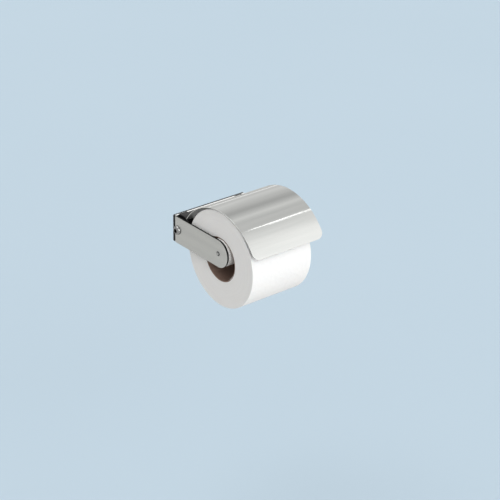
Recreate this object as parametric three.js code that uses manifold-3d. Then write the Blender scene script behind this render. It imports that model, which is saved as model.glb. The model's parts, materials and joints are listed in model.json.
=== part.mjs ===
// Toilet paper holder with a hinged cover, for a wall.
//
// One strip of polished sheet is folded into an L: the long leg is the back plate and the short
// leg is a single arm with a round end. A locking screw through the arm holds the strip to a dark
// plate that is screwed to the wall. The arm carries an axle with a roller, open at its right end,
// and a curved cover swings on a pin above the back plate and rests on the paper.
//
// Millimetres, +Z up. The origin is the middle of the wall plate's back face: the wall is the
// plane Y = 0, the object stands out towards -Y, and the arm is at the -X end.

import * as THREE from 'three';
import { mergeVertices } from 'three/addons/utils/BufferGeometryUtils.js';
import Module from 'manifold-3d';

const wasm = await Module();
wasm.setup();

// ---------- driving dimensions ----------

const PLATE_WIDTH = 100; // back plate, along the wall
const STRIP_HEIGHT = 32.5; // back plate and arm
const STRIP_THICKNESS = 2;
const FOLD_RADIUS = 0.4; // inside of the fold between back plate and arm
const WALL_PLATE_THICKNESS = 2;

const ROLL_RADIUS = 56.5; // full roll of paper
const ROLL_WIDTH = 82.4;
const CORE_RADIUS = 25; // bore of the cardboard core
const CORE_WALL = 1;
const ROLL_WALL_GAP = 25; // from the wall to a full roll in line with the roller
const ROLL_ARM_GAP = 1.8; // from the arm to the roll's end face
const ROLL_END_PLAY = 2.2; // from the roll to the rim that keeps it on
const ROLL_SWING = 9; // degrees towards the wall, pushed there by the cover

const ROLLER_RADIUS = 16;
const ROLLER_WALL = 1.2;
const ROLLER_ARM_GAP = 0.8;
const AXLE_RADIUS = 4;
const SHOULDER_RADIUS = 5.5; // axle shoulder, against the arm
const SHOULDER_THICKNESS = 1;
const RIVET_RADIUS = 2.5; // axle end, through the arm
const RIVET_HEIGHT = 0.55;
const RIM_RADIUS = 20; // rim of the end cap
const RIM_THICKNESS = 3;

const LID_EASE = 13; // how much wider the cover's curve is than the roll
const LID_THICKNESS = 1;
const LID_FRONT_ANGLE = 61; // degrees in front of the top of its curve
const LID_CORNER_RADIUS = 8.5;
const LID_SIDE_GAP = 0.7; // from the arm to the cover
const LID_REST_GAP = 0.4; // from the roll to the cover

const HINGE_FROM_WALL = 12.5;
const HINGE_HEIGHT = 8.4; // above the middle of the strip
const PIN_RADIUS = 2.5;
const BLOCK_RADIUS = 9.4; // rounded nose of the hinge blocks
const BLOCK_LENGTH = 10.5;
const PIN_END_WALL = 2; // closed end of a block, past the pin
const BLOCK_END_GAP = 6; // from the right end of the back plate to the right block
const HINGE_WASHER_RADIUS = 4.6;
const HINGE_WASHER_THICKNESS = 0.5;
const KNUCKLE_TURN = 285; // degrees that the cover's edge curls around the pin

const LOCK_SCREW_FROM_WALL = 8.2;
const LOCK_SCREW_RADIUS = 2.8;
const LOCK_HEAD_RADIUS = 5.25;
const LOCK_HEAD_HEIGHT = 3.1;
const LOCK_SOCKET_RADIUS = 2.3; // corner to corner, halved
const LOCK_SOCKET_DEPTH = 2;
const LUG_HEIGHT = 13;
const LUG_LENGTH = 12.5; // from the wall plate's front face
const WALL_HOLE_SPACING = 44;
const WALL_HOLE_RADIUS = 2.4;
const WALL_HOLE_HEAD_RADIUS = 4.3;

const BLOCK_SCREW_RADIUS = 1.2;
const BLOCK_SCREW_HEAD_RADIUS = 2.8;
const BLOCK_SCREW_HEAD_DEPTH = 1.5;
const END_SCREW_RADIUS = 1.9;
const END_SCREW_HEAD_RADIUS = 3.8;
const END_WASHER_RADIUS = 6.2;
const END_WASHER_THICKNESS = 0.8;

const FACE_GAP = 0.3; // between faces that touch
const FIT = 0.1; // radial clearance of a shaft in its hole
const THREAD_GAP = 0.3; // radial clearance around a plain-drawn thread

// ---------- places worked out from them ----------

const plateLeft = -PLATE_WIDTH / 2;
const plateRight = PLATE_WIDTH / 2;
const armInner = plateLeft + STRIP_THICKNESS;
const stripBack = -WALL_PLATE_THICKNESS - FACE_GAP;
const stripFront = stripBack - STRIP_THICKNESS;

const axisY = -(ROLL_WALL_GAP + ROLL_RADIUS);
const armEndRadius = STRIP_HEIGHT / 2;
const rollLeft = armInner + ROLL_ARM_GAP;
const rollRight = rollLeft + ROLL_WIDTH;
const rollHang = CORE_RADIUS - ROLLER_RADIUS - FACE_GAP; // the roll hangs on the roller
const rollSwing = THREE.MathUtils.degToRad(ROLL_SWING);
const rollY = axisY + rollHang * Math.sin(rollSwing);
const rollZ = -rollHang * Math.cos(rollSwing);

const rollerLeft = armInner + ROLLER_ARM_GAP;
const rollerRight = rollRight + ROLL_END_PLAY;
const rollerBore = ROLLER_RADIUS - ROLLER_WALL;
const shoulderRight = armInner + FIT + SHOULDER_THICKNESS;

const hingeY = -HINGE_FROM_WALL;
const pinBore = PIN_RADIUS + FIT;
const knuckleRadius = pinBore + LID_THICKNESS;
const lugLeft = armInner + FACE_GAP; // the wall plate's lug stands beside the arm
const lugRight = lugLeft + WALL_PLATE_THICKNESS;
const lugEnd = -WALL_PLATE_THICKNESS - LUG_LENGTH;
const leftBlock = [lugRight + 2 * FACE_GAP, lugRight + 2 * FACE_GAP + BLOCK_LENGTH];
const rightBlock = [plateRight - BLOCK_END_GAP - BLOCK_LENGTH, plateRight - BLOCK_END_GAP];
const washerRoom = 2 * FIT + HINGE_WASHER_THICKNESS;
const knuckleLeft = leftBlock[1] + washerRoom;
const knuckleRight = rightBlock[0] - washerRoom;
const lidLeft = armInner + LID_SIDE_GAP;
const lidRight = plateRight;
const lidInnerRadius = ROLL_RADIUS + LID_EASE;
const lidOuterRadius = lidInnerRadius + LID_THICKNESS;

// The cover's curve runs into the knuckle around the pin and touches the top of the roll, so its
// centre lies where two circles cross: one about the pin and one about the roll's centre.
const lidCentre = (() => {
  const toRoll = new THREE.Vector2(rollY - hingeY, rollZ - HINGE_HEIGHT);
  const fromPin = lidOuterRadius + pinBore;
  const fromRoll = lidInnerRadius - LID_REST_GAP - ROLL_RADIUS;
  const span = toRoll.length();
  const turn = Math.acos((span ** 2 + fromPin ** 2 - fromRoll ** 2) / (2 * span * fromPin));
  const direction = toRoll.angle() + turn;
  return new THREE.Vector2(
    hingeY + fromPin * Math.cos(direction),
    HINGE_HEIGHT + fromPin * Math.sin(direction),
  );
})();
const knuckleAngle = Math.atan2(hingeY - lidCentre.x, HINGE_HEIGHT - lidCentre.y);
const frontAngle = THREE.MathUtils.degToRad(-LID_FRONT_ANGLE);

// ---------- helpers ----------

const ROUND = 32; // sides of a round piece
const FINE_ROUND = 72; // sides of the roll
const ACROSS = new THREE.Matrix4().makeBasis( // a drawing in Y and Z, pulled out along X
  new THREE.Vector3(0, 1, 0),
  new THREE.Vector3(0, 0, 1),
  new THREE.Vector3(1, 0, 0),
);

// A geometry as a solid that can be joined and cut.
function solid(geometry) {
  const bare = geometry.clone();
  bare.deleteAttribute('normal');
  bare.deleteAttribute('uv');
  const merged = mergeVertices(bare, 1e-5);
  const corners = merged.index.array;
  const kept = [];
  for (let i = 0; i < corners.length; i += 3) {
    const [a, b, c] = [corners[i], corners[i + 1], corners[i + 2]];
    if (a !== b && b !== c && c !== a) kept.push(a, b, c);
  }
  return new wasm.Manifold(new wasm.Mesh({
    numProp: 3,
    vertProperties: new Float32Array(merged.attributes.position.array),
    triVerts: new Uint32Array(kept),
  }));
}

// A cut solid as a geometry again.
function geometryOf(shape) {
  const mesh = shape.getMesh();
  const geometry = new THREE.BufferGeometry();
  geometry.setAttribute('position', new THREE.BufferAttribute(mesh.vertProperties, 3));
  geometry.setIndex(new THREE.BufferAttribute(mesh.triVerts, 1));
  geometry.computeVertexNormals();
  return geometry;
}

// One solid less several others.
function cut(geometry, cutters) {
  return geometryOf(cutters.reduce((rest, cutter) => rest.subtract(solid(cutter)), solid(geometry)));
}

function box(x0, x1, y0, y1, z0, z1) {
  const geometry = new THREE.BoxGeometry(x1 - x0, y1 - y0, z1 - z0);
  return geometry.translate((x0 + x1) / 2, (y0 + y1) / 2, (z0 + z1) / 2);
}

// A round bar along X, centred on (y, z).
function barX(radius, x0, x1, y = 0, z = 0, sides = ROUND) {
  const geometry = new THREE.CylinderGeometry(radius, radius, x1 - x0, sides);
  return geometry.rotateZ(-Math.PI / 2).translate((x0 + x1) / 2, y, z);
}

// A round bar along Y, from radius r0 at y0 to radius r1 at y1, centred on (x, z).
function barY(r0, r1, y0, y1, x, z) {
  const geometry = new THREE.CylinderGeometry(r1, r0, y1 - y0, ROUND);
  return geometry.translate(x, (y0 + y1) / 2, z);
}

// A drawing of [y, z] points, pulled out along X.
function alongX(points, x0, x1) {
  const shape = new THREE.Shape(points.map(([y, z]) => new THREE.Vector2(y, z)));
  const geometry = new THREE.ExtrudeGeometry(shape, { depth: x1 - x0, bevelEnabled: false });
  return geometry.applyMatrix4(ACROSS).translate(x0, 0, 0);
}

// A profile of [radius, x] points turned about the X axis.
function turned(points, sides = ROUND) {
  const profile = points.map(([radius, x]) => new THREE.Vector2(radius, x));
  return new THREE.LatheGeometry(profile, sides).rotateZ(-Math.PI / 2);
}

// A turned profile that closes on itself, for a piece with a bore.
function turnedRing(points, sides = ROUND) {
  return turned([...points, points[0]], sides);
}

// Points on an arc, with angles in radians and both ends included.
function arc(centreX, centreY, radius, from, to, steps) {
  return Array.from({ length: steps + 1 }, (_, i) => {
    const angle = from + ((to - from) * i) / steps;
    return [centreX + radius * Math.cos(angle), centreY + radius * Math.sin(angle)];
  });
}

// ---------- materials ----------

const polished = new THREE.MeshStandardMaterial({ color: 0xb4b6b3, roughness: 0.12, metalness: 1 });
const steel = new THREE.MeshStandardMaterial({ color: 0x9a9c9b, roughness: 0.35, metalness: 1 });
const darkPaint = new THREE.MeshStandardMaterial({ color: 0x2a2f33, roughness: 0.6, metalness: 0.2 });
const blackPlastic = new THREE.MeshStandardMaterial({ color: 0x141414, roughness: 0.55, metalness: 0 });
const greyPlastic = new THREE.MeshStandardMaterial({ color: 0x55575a, roughness: 0.5, metalness: 0 });
const cardboard = new THREE.MeshStandardMaterial({ color: 0x6b574b, roughness: 0.9, metalness: 0 });
const paper = new THREE.MeshStandardMaterial({ color: 0xf4f4f2, roughness: 0.95, metalness: 0 });

// ---------- fixed pieces ----------

// Flat dark plate for the wall, with a lug turned forwards beside the arm.
function wallPlate() {
  const plate = solid(box(plateLeft, plateRight, -WALL_PLATE_THICKNESS, 0, -armEndRadius, armEndRadius));
  const lug = solid(box(lugLeft, lugRight, lugEnd, -WALL_PLATE_THICKNESS / 2, -LUG_HEIGHT / 2, LUG_HEIGHT / 2));
  const lugOpening = box(
    lugRight, lugRight + LUG_LENGTH, -WALL_PLATE_THICKNESS - 1, 1, -LUG_HEIGHT / 2, LUG_HEIGHT / 2,
  );
  const thread = barX(
    LOCK_SCREW_RADIUS + THREAD_GAP, lugLeft - 1, lugRight + 1, -LOCK_SCREW_FROM_WALL, 0,
  );
  let shape = plate.add(lug).subtract(solid(lugOpening)).subtract(solid(thread));
  for (const side of [-1, 1]) {
    const x = (side * WALL_HOLE_SPACING) / 2;
    const hole = barY(WALL_HOLE_RADIUS, WALL_HOLE_RADIUS, -WALL_PLATE_THICKNESS - 1, 1, x, 0);
    const sink = barY(
      WALL_HOLE_HEAD_RADIUS, WALL_HOLE_RADIUS, -WALL_PLATE_THICKNESS, -WALL_PLATE_THICKNESS / 4, x, 0,
    );
    shape = shape.subtract(solid(hole)).subtract(solid(sink));
  }
  return geometryOf(shape);
}

// Places of the two countersunk screws that hold the hinge blocks.
const middleOf = ([x0, x1]) => (x0 + x1) / 2;
const blockScrewZ = HINGE_HEIGHT - pinBore - BLOCK_SCREW_RADIUS - 1;
const blockScrewEnd = hingeY + pinBore + 1;

// Polished strip: back plate and arm in one piece.
function bracket() {
  const outer = FOLD_RADIUS + STRIP_THICKNESS;
  const plan = new THREE.Shape();
  plan.moveTo(plateRight, stripBack);
  plan.lineTo(plateLeft + outer, stripBack);
  plan.absarc(plateLeft + outer, stripBack - outer, outer, Math.PI / 2, Math.PI, false);
  plan.lineTo(plateLeft, axisY - armEndRadius);
  plan.lineTo(armInner, axisY - armEndRadius);
  plan.lineTo(armInner, stripFront - FOLD_RADIUS);
  plan.absarc(armInner + FOLD_RADIUS, stripFront - FOLD_RADIUS, FOLD_RADIUS, Math.PI, Math.PI / 2, true);
  plan.lineTo(plateRight, stripFront);
  const strip = new THREE.ExtrudeGeometry(plan, { depth: STRIP_HEIGHT, bevelEnabled: false, curveSegments: 6 });
  strip.translate(0, 0, -STRIP_HEIGHT / 2);
  const side = alongX(
    [
      [0, armEndRadius],
      ...arc(axisY, 0, armEndRadius, Math.PI / 2, (3 * Math.PI) / 2, ROUND / 2),
      [0, -armEndRadius],
    ],
    plateLeft - 1,
    plateRight + 1,
  );
  let shape = solid(strip).intersect(solid(side));
  const cutters = [
    box(armInner + FACE_GAP / 3, lugRight + FACE_GAP, stripFront - 1, stripBack + 1,
      -LUG_HEIGHT / 2 - FACE_GAP, LUG_HEIGHT / 2 + FACE_GAP),
    barX(LOCK_SCREW_RADIUS + THREAD_GAP, plateLeft - 1, armInner + 1, -LOCK_SCREW_FROM_WALL, 0),
    barX(RIVET_RADIUS + FIT, plateLeft - 1, armInner + 1, axisY, 0),
  ];
  for (const x of [middleOf(leftBlock), middleOf(rightBlock)]) {
    const hole = BLOCK_SCREW_RADIUS + THREAD_GAP;
    const sink = BLOCK_SCREW_HEAD_RADIUS + FACE_GAP;
    cutters.push(barY(hole, hole, stripFront - 1, stripBack + 1, x, blockScrewZ));
    cutters.push(barY(hole, sink, stripBack - BLOCK_SCREW_HEAD_DEPTH, stripBack, x, blockScrewZ));
  }
  for (const cutter of cutters) shape = shape.subtract(solid(cutter));
  return geometryOf(shape);
}

// Button-head screw with a hexagon socket, along X.
function lockingScrew() {
  const under = plateLeft - FACE_GAP;
  const top = under - LOCK_HEAD_HEIGHT;
  const dome = arc(0, 0, 1, Math.PI / 2, 0, 8);
  const tip = lugRight;
  const profile = [
    ...dome.slice(1, -1).map(([c, s]) => [LOCK_HEAD_RADIUS * c, under - 0.6 - (LOCK_HEAD_HEIGHT - 0.6) * s]),
    [LOCK_HEAD_RADIUS, under - 0.6],
    [LOCK_HEAD_RADIUS, under],
    [LOCK_SCREW_RADIUS, under],
    [LOCK_SCREW_RADIUS, tip - 1],
    [LOCK_SCREW_RADIUS - 1, tip],
    [0, tip],
  ];
  const body = turned([[0, top], ...profile]);
  const socket = barX(LOCK_SOCKET_RADIUS, top - 1, top + LOCK_SOCKET_DEPTH, 0, 0, 6);
  return cut(body, [socket]);
}

// Black block with a rounded nose between x0 and x1. It holds the end of the pin that comes in
// from the middle of the plate.
function hingeBlock([x0, x1]) {
  const back = stripFront - FACE_GAP;
  const outline = [
    [back, HINGE_HEIGHT + BLOCK_RADIUS],
    ...arc(hingeY, HINGE_HEIGHT, BLOCK_RADIUS, Math.PI / 2, (3 * Math.PI) / 2, ROUND / 3),
    [back, HINGE_HEIGHT - BLOCK_RADIUS],
  ];
  const fromLeft = x0 > 0;
  const pinHole = fromLeft
    ? barX(pinBore, x0 - 1, x1 - PIN_END_WALL + FACE_GAP, hingeY, HINGE_HEIGHT)
    : barX(pinBore, x0 + PIN_END_WALL - FACE_GAP, x1 + 1, hingeY, HINGE_HEIGHT);
  const pilot = BLOCK_SCREW_RADIUS + THREAD_GAP;
  const screwHole = barY(
    pilot, pilot, blockScrewEnd - FACE_GAP, back + 1, middleOf([x0, x1]), blockScrewZ,
  );
  return cut(alongX(outline, x0, x1), [pinHole, screwHole]);
}

// Countersunk screw, along Y, with its head in the back of the strip.
function blockScrew() {
  const head = stripBack - 0.05;
  const neck = head - BLOCK_SCREW_HEAD_DEPTH;
  const profile = [
    [0, blockScrewEnd],
    [BLOCK_SCREW_RADIUS, blockScrewEnd],
    [BLOCK_SCREW_RADIUS, neck],
    [BLOCK_SCREW_HEAD_RADIUS, head],
    [0, head],
  ];
  const body = new THREE.LatheGeometry(profile.map(([r, y]) => new THREE.Vector2(r, y)), ROUND / 2);
  const slots = [box(-1.8, 1.8, head - 0.7, head + 1, -0.3, 0.3), box(-0.3, 0.3, head - 0.7, head + 1, -1.8, 1.8)];
  return cut(body, slots);
}

// ---------- cover and its pin ----------

function hingePin() {
  const left = leftBlock[0] + PIN_END_WALL;
  const right = rightBlock[1] - PIN_END_WALL;
  const chamfer = 0.4;
  return turned([
    [0, left],
    [PIN_RADIUS - chamfer, left],
    [PIN_RADIUS, left + chamfer],
    [PIN_RADIUS, right - chamfer],
    [PIN_RADIUS - chamfer, right],
    [0, right],
  ]);
}

function hingeWasher(x) {
  return turnedRing([
    [pinBore, x],
    [HINGE_WASHER_RADIUS, x],
    [HINGE_WASHER_RADIUS, x + HINGE_WASHER_THICKNESS],
    [pinBore, x + HINGE_WASHER_THICKNESS],
  ]);
}

// Curved cover of thin sheet. Its back edge curls around the pin between the blocks, it is
// notched to pass them, and its front corners are rounded.
function lid() {
  const onCurve = (radius, angle) => [
    lidCentre.x + radius * Math.sin(angle),
    lidCentre.y + radius * Math.cos(angle),
  ];
  const steps = 48;
  const sweep = (radius, from, to) => Array.from(
    { length: steps + 1 }, (_, i) => onCurve(radius, from + ((to - from) * i) / steps),
  );
  const curlStart = -Math.PI / 2 - knuckleAngle;
  const curlEnd = curlStart + THREE.MathUtils.degToRad(KNUCKLE_TURN);
  const outline = [
    ...sweep(lidOuterRadius, frontAngle, knuckleAngle),
    ...arc(hingeY, HINGE_HEIGHT, pinBore, curlStart, curlEnd, 24).slice(1),
    ...arc(hingeY, HINGE_HEIGHT, knuckleRadius, curlEnd, curlStart, 24),
    ...sweep(lidInnerRadius, knuckleAngle, frontAngle).slice(1),
  ];
  const notchRadius = BLOCK_RADIUS + 2 * FACE_GAP;
  const cutters = [
    barX(notchRadius, knuckleRight, lidRight + 1, hingeY, HINGE_HEIGHT),
    barX(notchRadius, lidLeft - 1, knuckleLeft, hingeY, HINGE_HEIGHT),
    cornerCutter(lidLeft, -1),
    cornerCutter(lidRight, 1),
  ];
  return cut(alongX(outline, lidLeft, lidRight), cutters);
}

// What is cut away to round one front corner of the cover, square to the sheet there.
function cornerCutter(x, side) {
  const r = LID_CORNER_RADIUS;
  const beyond = r + 3;
  const corner = [...arc(0, 0, r, 0, Math.PI / 2, 10), [0, beyond], [beyond, beyond], [beyond, 0]];
  const shape = new THREE.Shape(corner.map(([a, b]) => new THREE.Vector2(side * a, b)));
  const geometry = new THREE.ExtrudeGeometry(shape, { depth: 12, bevelEnabled: false });
  const angle = frontAngle + r / lidOuterRadius;
  const place = new THREE.Matrix4().makeBasis(
    new THREE.Vector3(1, 0, 0),
    new THREE.Vector3(0, -Math.cos(angle), Math.sin(angle)),
    new THREE.Vector3(0, -Math.sin(angle), -Math.cos(angle)),
  );
  place.setPosition(
    x - side * r,
    lidCentre.x + (lidOuterRadius + 6) * Math.sin(angle),
    lidCentre.y + (lidOuterRadius + 6) * Math.cos(angle),
  );
  return geometry.applyMatrix4(place);
}

// ---------- axle and roller, about the roller's axis ----------

const capWebRight = rollerRight - 2 * FACE_GAP;
const axleEnd = rollerRight - FACE_GAP;
const capFace = rollerRight + FACE_GAP + RIM_THICKNESS;
const recessRadius = END_WASHER_RADIUS + 2.4;
const bushRadius = rollerBore - FIT;
const bushBore = AXLE_RADIUS + FIT;
const bushRim = bushRadius - 2;

// Axle: its left end is a rivet through the arm, and its right end is tapped for the end screw.
function axle() {
  const rivetTop = plateLeft - RIVET_HEIGHT;
  const tapEnd = axleEnd - 12;
  const tap = END_SCREW_RADIUS + THREAD_GAP;
  return turned([
    [0, rivetTop + 0.4],
    [0.9, rivetTop + 0.05],
    [1.3, rivetTop],
    [RIVET_RADIUS - 0.25, plateLeft - 0.25],
    [RIVET_RADIUS, plateLeft],
    [RIVET_RADIUS, armInner + FIT],
    [SHOULDER_RADIUS, armInner + FIT],
    [SHOULDER_RADIUS, shoulderRight],
    [AXLE_RADIUS, shoulderRight],
    [AXLE_RADIUS, axleEnd - 0.5],
    [AXLE_RADIUS - 0.5, axleEnd],
    [tap, axleEnd],
    [tap, tapEnd],
    [0, tapEnd],
  ]);
}

// Thin washer between the axle's shoulder and the roller.
function axleWasher() {
  const x = shoulderRight + FIT;
  return turnedRing([
    [bushBore, x],
    [SHOULDER_RADIUS, x],
    [SHOULDER_RADIUS, x + 0.6],
    [bushBore, x + 0.6],
  ]);
}

function rollerTube() {
  const edge = 0.4;
  return turnedRing([
    [rollerBore, rollerLeft],
    [ROLLER_RADIUS - edge, rollerLeft],
    [ROLLER_RADIUS, rollerLeft + edge],
    [ROLLER_RADIUS, rollerRight],
    [rollerBore, rollerRight],
  ], FINE_ROUND * 2 / 3);
}

// Plastic bush that carries the arm end of the roller on the axle.
function rollerBush() {
  const web = shoulderRight + 2 * FIT + 0.6;
  const rimLeft = rollerLeft + FACE_GAP;
  return turnedRing([
    [bushBore, web],
    [bushRim, web],
    [bushRim, rimLeft],
    [bushRadius, rimLeft],
    [bushRadius, web + 6],
    [bushRim, web + 6],
    [bushRim, web + 2],
    [bushBore + 2.5, web + 2],
    [bushBore + 2.5, web + 8],
    [bushBore, web + 8],
  ]);
}

// Plastic end cap: carries the other end, and its rim keeps the roll on.
function endCap() {
  const round = 0.8;
  const rimBack = rollerRight + FACE_GAP;
  return turnedRing([
    [bushBore, capWebRight - 8],
    [bushBore + 2.5, capWebRight - 8],
    [bushBore + 2.5, capWebRight - 2],
    [bushRim, capWebRight - 2],
    [bushRim, capWebRight - 6],
    [bushRadius, capWebRight - 6],
    [bushRadius, rimBack],
    [RIM_RADIUS - round, rimBack],
    [RIM_RADIUS, rimBack + round],
    [RIM_RADIUS, capFace - round],
    [RIM_RADIUS - round, capFace],
    [recessRadius, capFace],
    [recessRadius, capWebRight],
    [bushBore, capWebRight],
  ]);
}

function endWasher() {
  const x = axleEnd + FACE_GAP;
  const bore = END_SCREW_RADIUS + THREAD_GAP;
  return turnedRing([
    [bore, x],
    [END_WASHER_RADIUS, x],
    [END_WASHER_RADIUS, x + END_WASHER_THICKNESS],
    [bore, x + END_WASHER_THICKNESS],
  ]);
}

// Pan-head screw that closes the axle's end.
function endScrew() {
  const under = axleEnd + 2 * FACE_GAP + END_WASHER_THICKNESS;
  const top = under + 1.9;
  const body = turned([
    [0, axleEnd - 9],
    [END_SCREW_RADIUS, axleEnd - 9],
    [END_SCREW_RADIUS, under],
    [END_SCREW_HEAD_RADIUS, under],
    [END_SCREW_HEAD_RADIUS, under + 1],
    [END_SCREW_HEAD_RADIUS - 0.8, top - 0.15],
    [END_SCREW_HEAD_RADIUS - 2, top],
    [0, top],
  ]);
  const slots = [box(top - 1, top + 1, -2.1, 2.1, -0.4, 0.4), box(top - 1, top + 1, -0.4, 0.4, -2.1, 2.1)];
  return cut(body, slots);
}

// ---------- roll, about its own axis, from X = 0 ----------

function cardboardCore() {
  return turnedRing([
    [CORE_RADIUS, 0],
    [CORE_RADIUS + CORE_WALL, 0],
    [CORE_RADIUS + CORE_WALL, ROLL_WIDTH],
    [CORE_RADIUS, ROLL_WIDTH],
  ], FINE_ROUND);
}

function paperRoll() {
  const bore = CORE_RADIUS + CORE_WALL + FIT;
  const edge = 0.6;
  return turnedRing([
    [bore, 0],
    [ROLL_RADIUS - edge, 0],
    [ROLL_RADIUS, edge],
    [ROLL_RADIUS, ROLL_WIDTH - edge],
    [ROLL_RADIUS - edge, ROLL_WIDTH],
    [bore, ROLL_WIDTH],
  ], FINE_ROUND);
}

// ---------- assembly ----------

function piece(parent, name, geometry, material, position = [0, 0, 0]) {
  const mesh = new THREE.Mesh(geometry, material);
  mesh.name = name;
  mesh.position.set(...position);
  parent.add(mesh);
}

const holder = new THREE.Group();

piece(holder, 'wall_plate', wallPlate(), darkPaint);
piece(holder, 'bracket', bracket(), polished);
piece(holder, 'locking_screw', lockingScrew(), polished, [0, -LOCK_SCREW_FROM_WALL, 0]);
piece(holder, 'hinge_block_left', hingeBlock(leftBlock), blackPlastic);
piece(holder, 'hinge_block_right', hingeBlock(rightBlock), blackPlastic);
piece(holder, 'block_screw_left', blockScrew(), steel, [middleOf(leftBlock), 0, blockScrewZ]);
piece(holder, 'block_screw_right', blockScrew(), steel, [middleOf(rightBlock), 0, blockScrewZ]);

const hinge = new THREE.Group();
hinge.position.set(0, hingeY, HINGE_HEIGHT);
holder.add(hinge);
piece(hinge, 'hinge_pin', hingePin(), steel);
piece(hinge, 'hinge_washer_left', hingeWasher(leftBlock[1] + FIT), greyPlastic);
piece(hinge, 'hinge_washer_right', hingeWasher(knuckleRight + FIT), greyPlastic);
piece(holder, 'lid', lid(), polished);

const spindle = new THREE.Group();
spindle.position.set(0, axisY, 0);
holder.add(spindle);
piece(spindle, 'axle', axle(), steel);
piece(spindle, 'axle_washer', axleWasher(), greyPlastic);
piece(spindle, 'roller_tube', rollerTube(), polished);
piece(spindle, 'roller_bush', rollerBush(), blackPlastic);
piece(spindle, 'end_cap', endCap(), blackPlastic);
piece(spindle, 'end_washer', endWasher(), steel);
piece(spindle, 'end_screw', endScrew(), steel);

const roll = new THREE.Group();
roll.position.set(rollLeft, rollY, rollZ);
holder.add(roll);
piece(roll, 'cardboard_core', cardboardCore(), cardboard);
piece(roll, 'paper_roll', paperRoll(), paper);

export default holder;
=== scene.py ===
# %% [markdown]
# # A toilet paper holder in polished sheet
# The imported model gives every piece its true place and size, in metres, with the wall at Y = 0 and
# the room towards -Y. This lesson builds what is seen around it: folded and rolled sheet, turned
# parts, a wound roll of paper, and a finish for each. It starts by loading that frame.

# %% Load the frame
import json
import math
import random

import bmesh
import bpy
from mathutils import Matrix, Vector, geometry, noise


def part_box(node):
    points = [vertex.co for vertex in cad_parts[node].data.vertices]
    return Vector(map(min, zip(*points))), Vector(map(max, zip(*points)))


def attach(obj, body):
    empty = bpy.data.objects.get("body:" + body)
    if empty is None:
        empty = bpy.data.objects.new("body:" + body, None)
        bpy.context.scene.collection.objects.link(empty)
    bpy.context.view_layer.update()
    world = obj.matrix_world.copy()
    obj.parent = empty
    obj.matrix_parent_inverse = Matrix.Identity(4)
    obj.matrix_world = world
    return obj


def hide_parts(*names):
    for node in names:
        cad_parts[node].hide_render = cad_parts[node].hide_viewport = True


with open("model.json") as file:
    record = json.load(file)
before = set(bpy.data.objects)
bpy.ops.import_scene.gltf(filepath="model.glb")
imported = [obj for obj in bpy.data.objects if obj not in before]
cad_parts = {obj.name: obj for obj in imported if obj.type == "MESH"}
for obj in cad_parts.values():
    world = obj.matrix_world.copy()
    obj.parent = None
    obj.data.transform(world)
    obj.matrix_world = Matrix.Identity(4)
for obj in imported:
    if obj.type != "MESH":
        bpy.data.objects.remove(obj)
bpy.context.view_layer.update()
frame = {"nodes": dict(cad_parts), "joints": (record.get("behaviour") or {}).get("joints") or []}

MM = 0.001
scene = bpy.context.scene
joints = {joint["name"]: joint for joint in frame["joints"]}
print("joints:", ", ".join(joints))

# %% [markdown]
# ## The camera
# The holder is looked down on from its closed side, from far away through a long lens, so that
# its edges stay nearly parallel. A camera can be aimed with a Track To constraint, but a written
# matrix also takes the small roll of a hand-held camera. Its columns are the camera's right, up
# and back directions.

# %% Camera
VIEW_TURN = math.radians(39.39)
VIEW_RISE = math.radians(26.6)
VIEW_ROLL = math.radians(0.85)
VIEW_DISTANCE = 1.889
VIEW_TARGET = Vector((0.0251, -0.0444, -0.0332))
VIEW_LENS = 120.05
SENSOR_WIDTH = 36


def aim_camera():
    level_back = Vector((-math.sin(VIEW_TURN), -math.cos(VIEW_TURN), 0))
    back = level_back * math.cos(VIEW_RISE) + Vector((0, 0, math.sin(VIEW_RISE)))
    level = Vector((math.cos(VIEW_TURN), -math.sin(VIEW_TURN), 0))
    upright = back.cross(level)
    right = math.cos(VIEW_ROLL) * level + math.sin(VIEW_ROLL) * upright
    up = math.cos(VIEW_ROLL) * upright - math.sin(VIEW_ROLL) * level
    lens = bpy.data.cameras.new("camera")
    lens.lens = VIEW_LENS
    lens.sensor_width = SENSOR_WIDTH
    camera = bpy.data.objects.new("camera", lens)
    scene.collection.objects.link(camera)
    camera.matrix_world = Matrix((right, up, back)).transposed().to_4x4()
    camera.location = VIEW_TARGET + back * VIEW_DISTANCE
    scene.camera = camera
    return camera


camera = aim_camera()
print("camera stands at", [round(c, 3) for c in camera.location])

# %% [markdown]
# ## Writing nodes
# Every finish is a small graph of nodes. Written out call by call, a graph takes four lines for
# each node, so one helper makes a node, sets it up and fills its inputs. An input may be given a
# plain value or another node's output, and an output is linked.

# %% Node helpers
def add_node(tree, kind, values=None, **settings):
    made = tree.nodes.new(kind)
    for name, value in settings.items():
        setattr(made, name, value)
    for socket, value in (values or {}).items():
        if isinstance(value, bpy.types.NodeSocket):
            tree.links.new(value, made.inputs[socket])
        else:
            made.inputs[socket].default_value = value
    return made


def calculate(tree, operation, *values):
    return add_node(tree, "ShaderNodeMath", dict(enumerate(values)), operation=operation).outputs[0]


def ramp(tree, value, low, high, to_low=0.0, to_high=1.0):
    values = {"Value": value, "From Min": low, "From Max": high, "To Min": to_low, "To Max": to_high}
    return add_node(tree, "ShaderNodeMapRange", values, interpolation_type="SMOOTHSTEP").outputs[0]


def blend_colours(tree, factor, first, second):
    values = {0: factor, 6: first, 7: second}
    return add_node(tree, "ShaderNodeMix", values, data_type="RGBA").outputs[2]


def cloud(tree, vector, scale, detail=3.0, roughness=0.5):
    values = {"Vector": vector, "Scale": scale, "Detail": detail, "Roughness": roughness}
    return add_node(tree, "ShaderNodeTexNoise", values).outputs[0]


def stretched(tree, vector, amounts):
    values = {0: vector, 1: amounts}
    return add_node(tree, "ShaderNodeVectorMath", values, operation="MULTIPLY").outputs[0]


print("node helpers ready")

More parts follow.
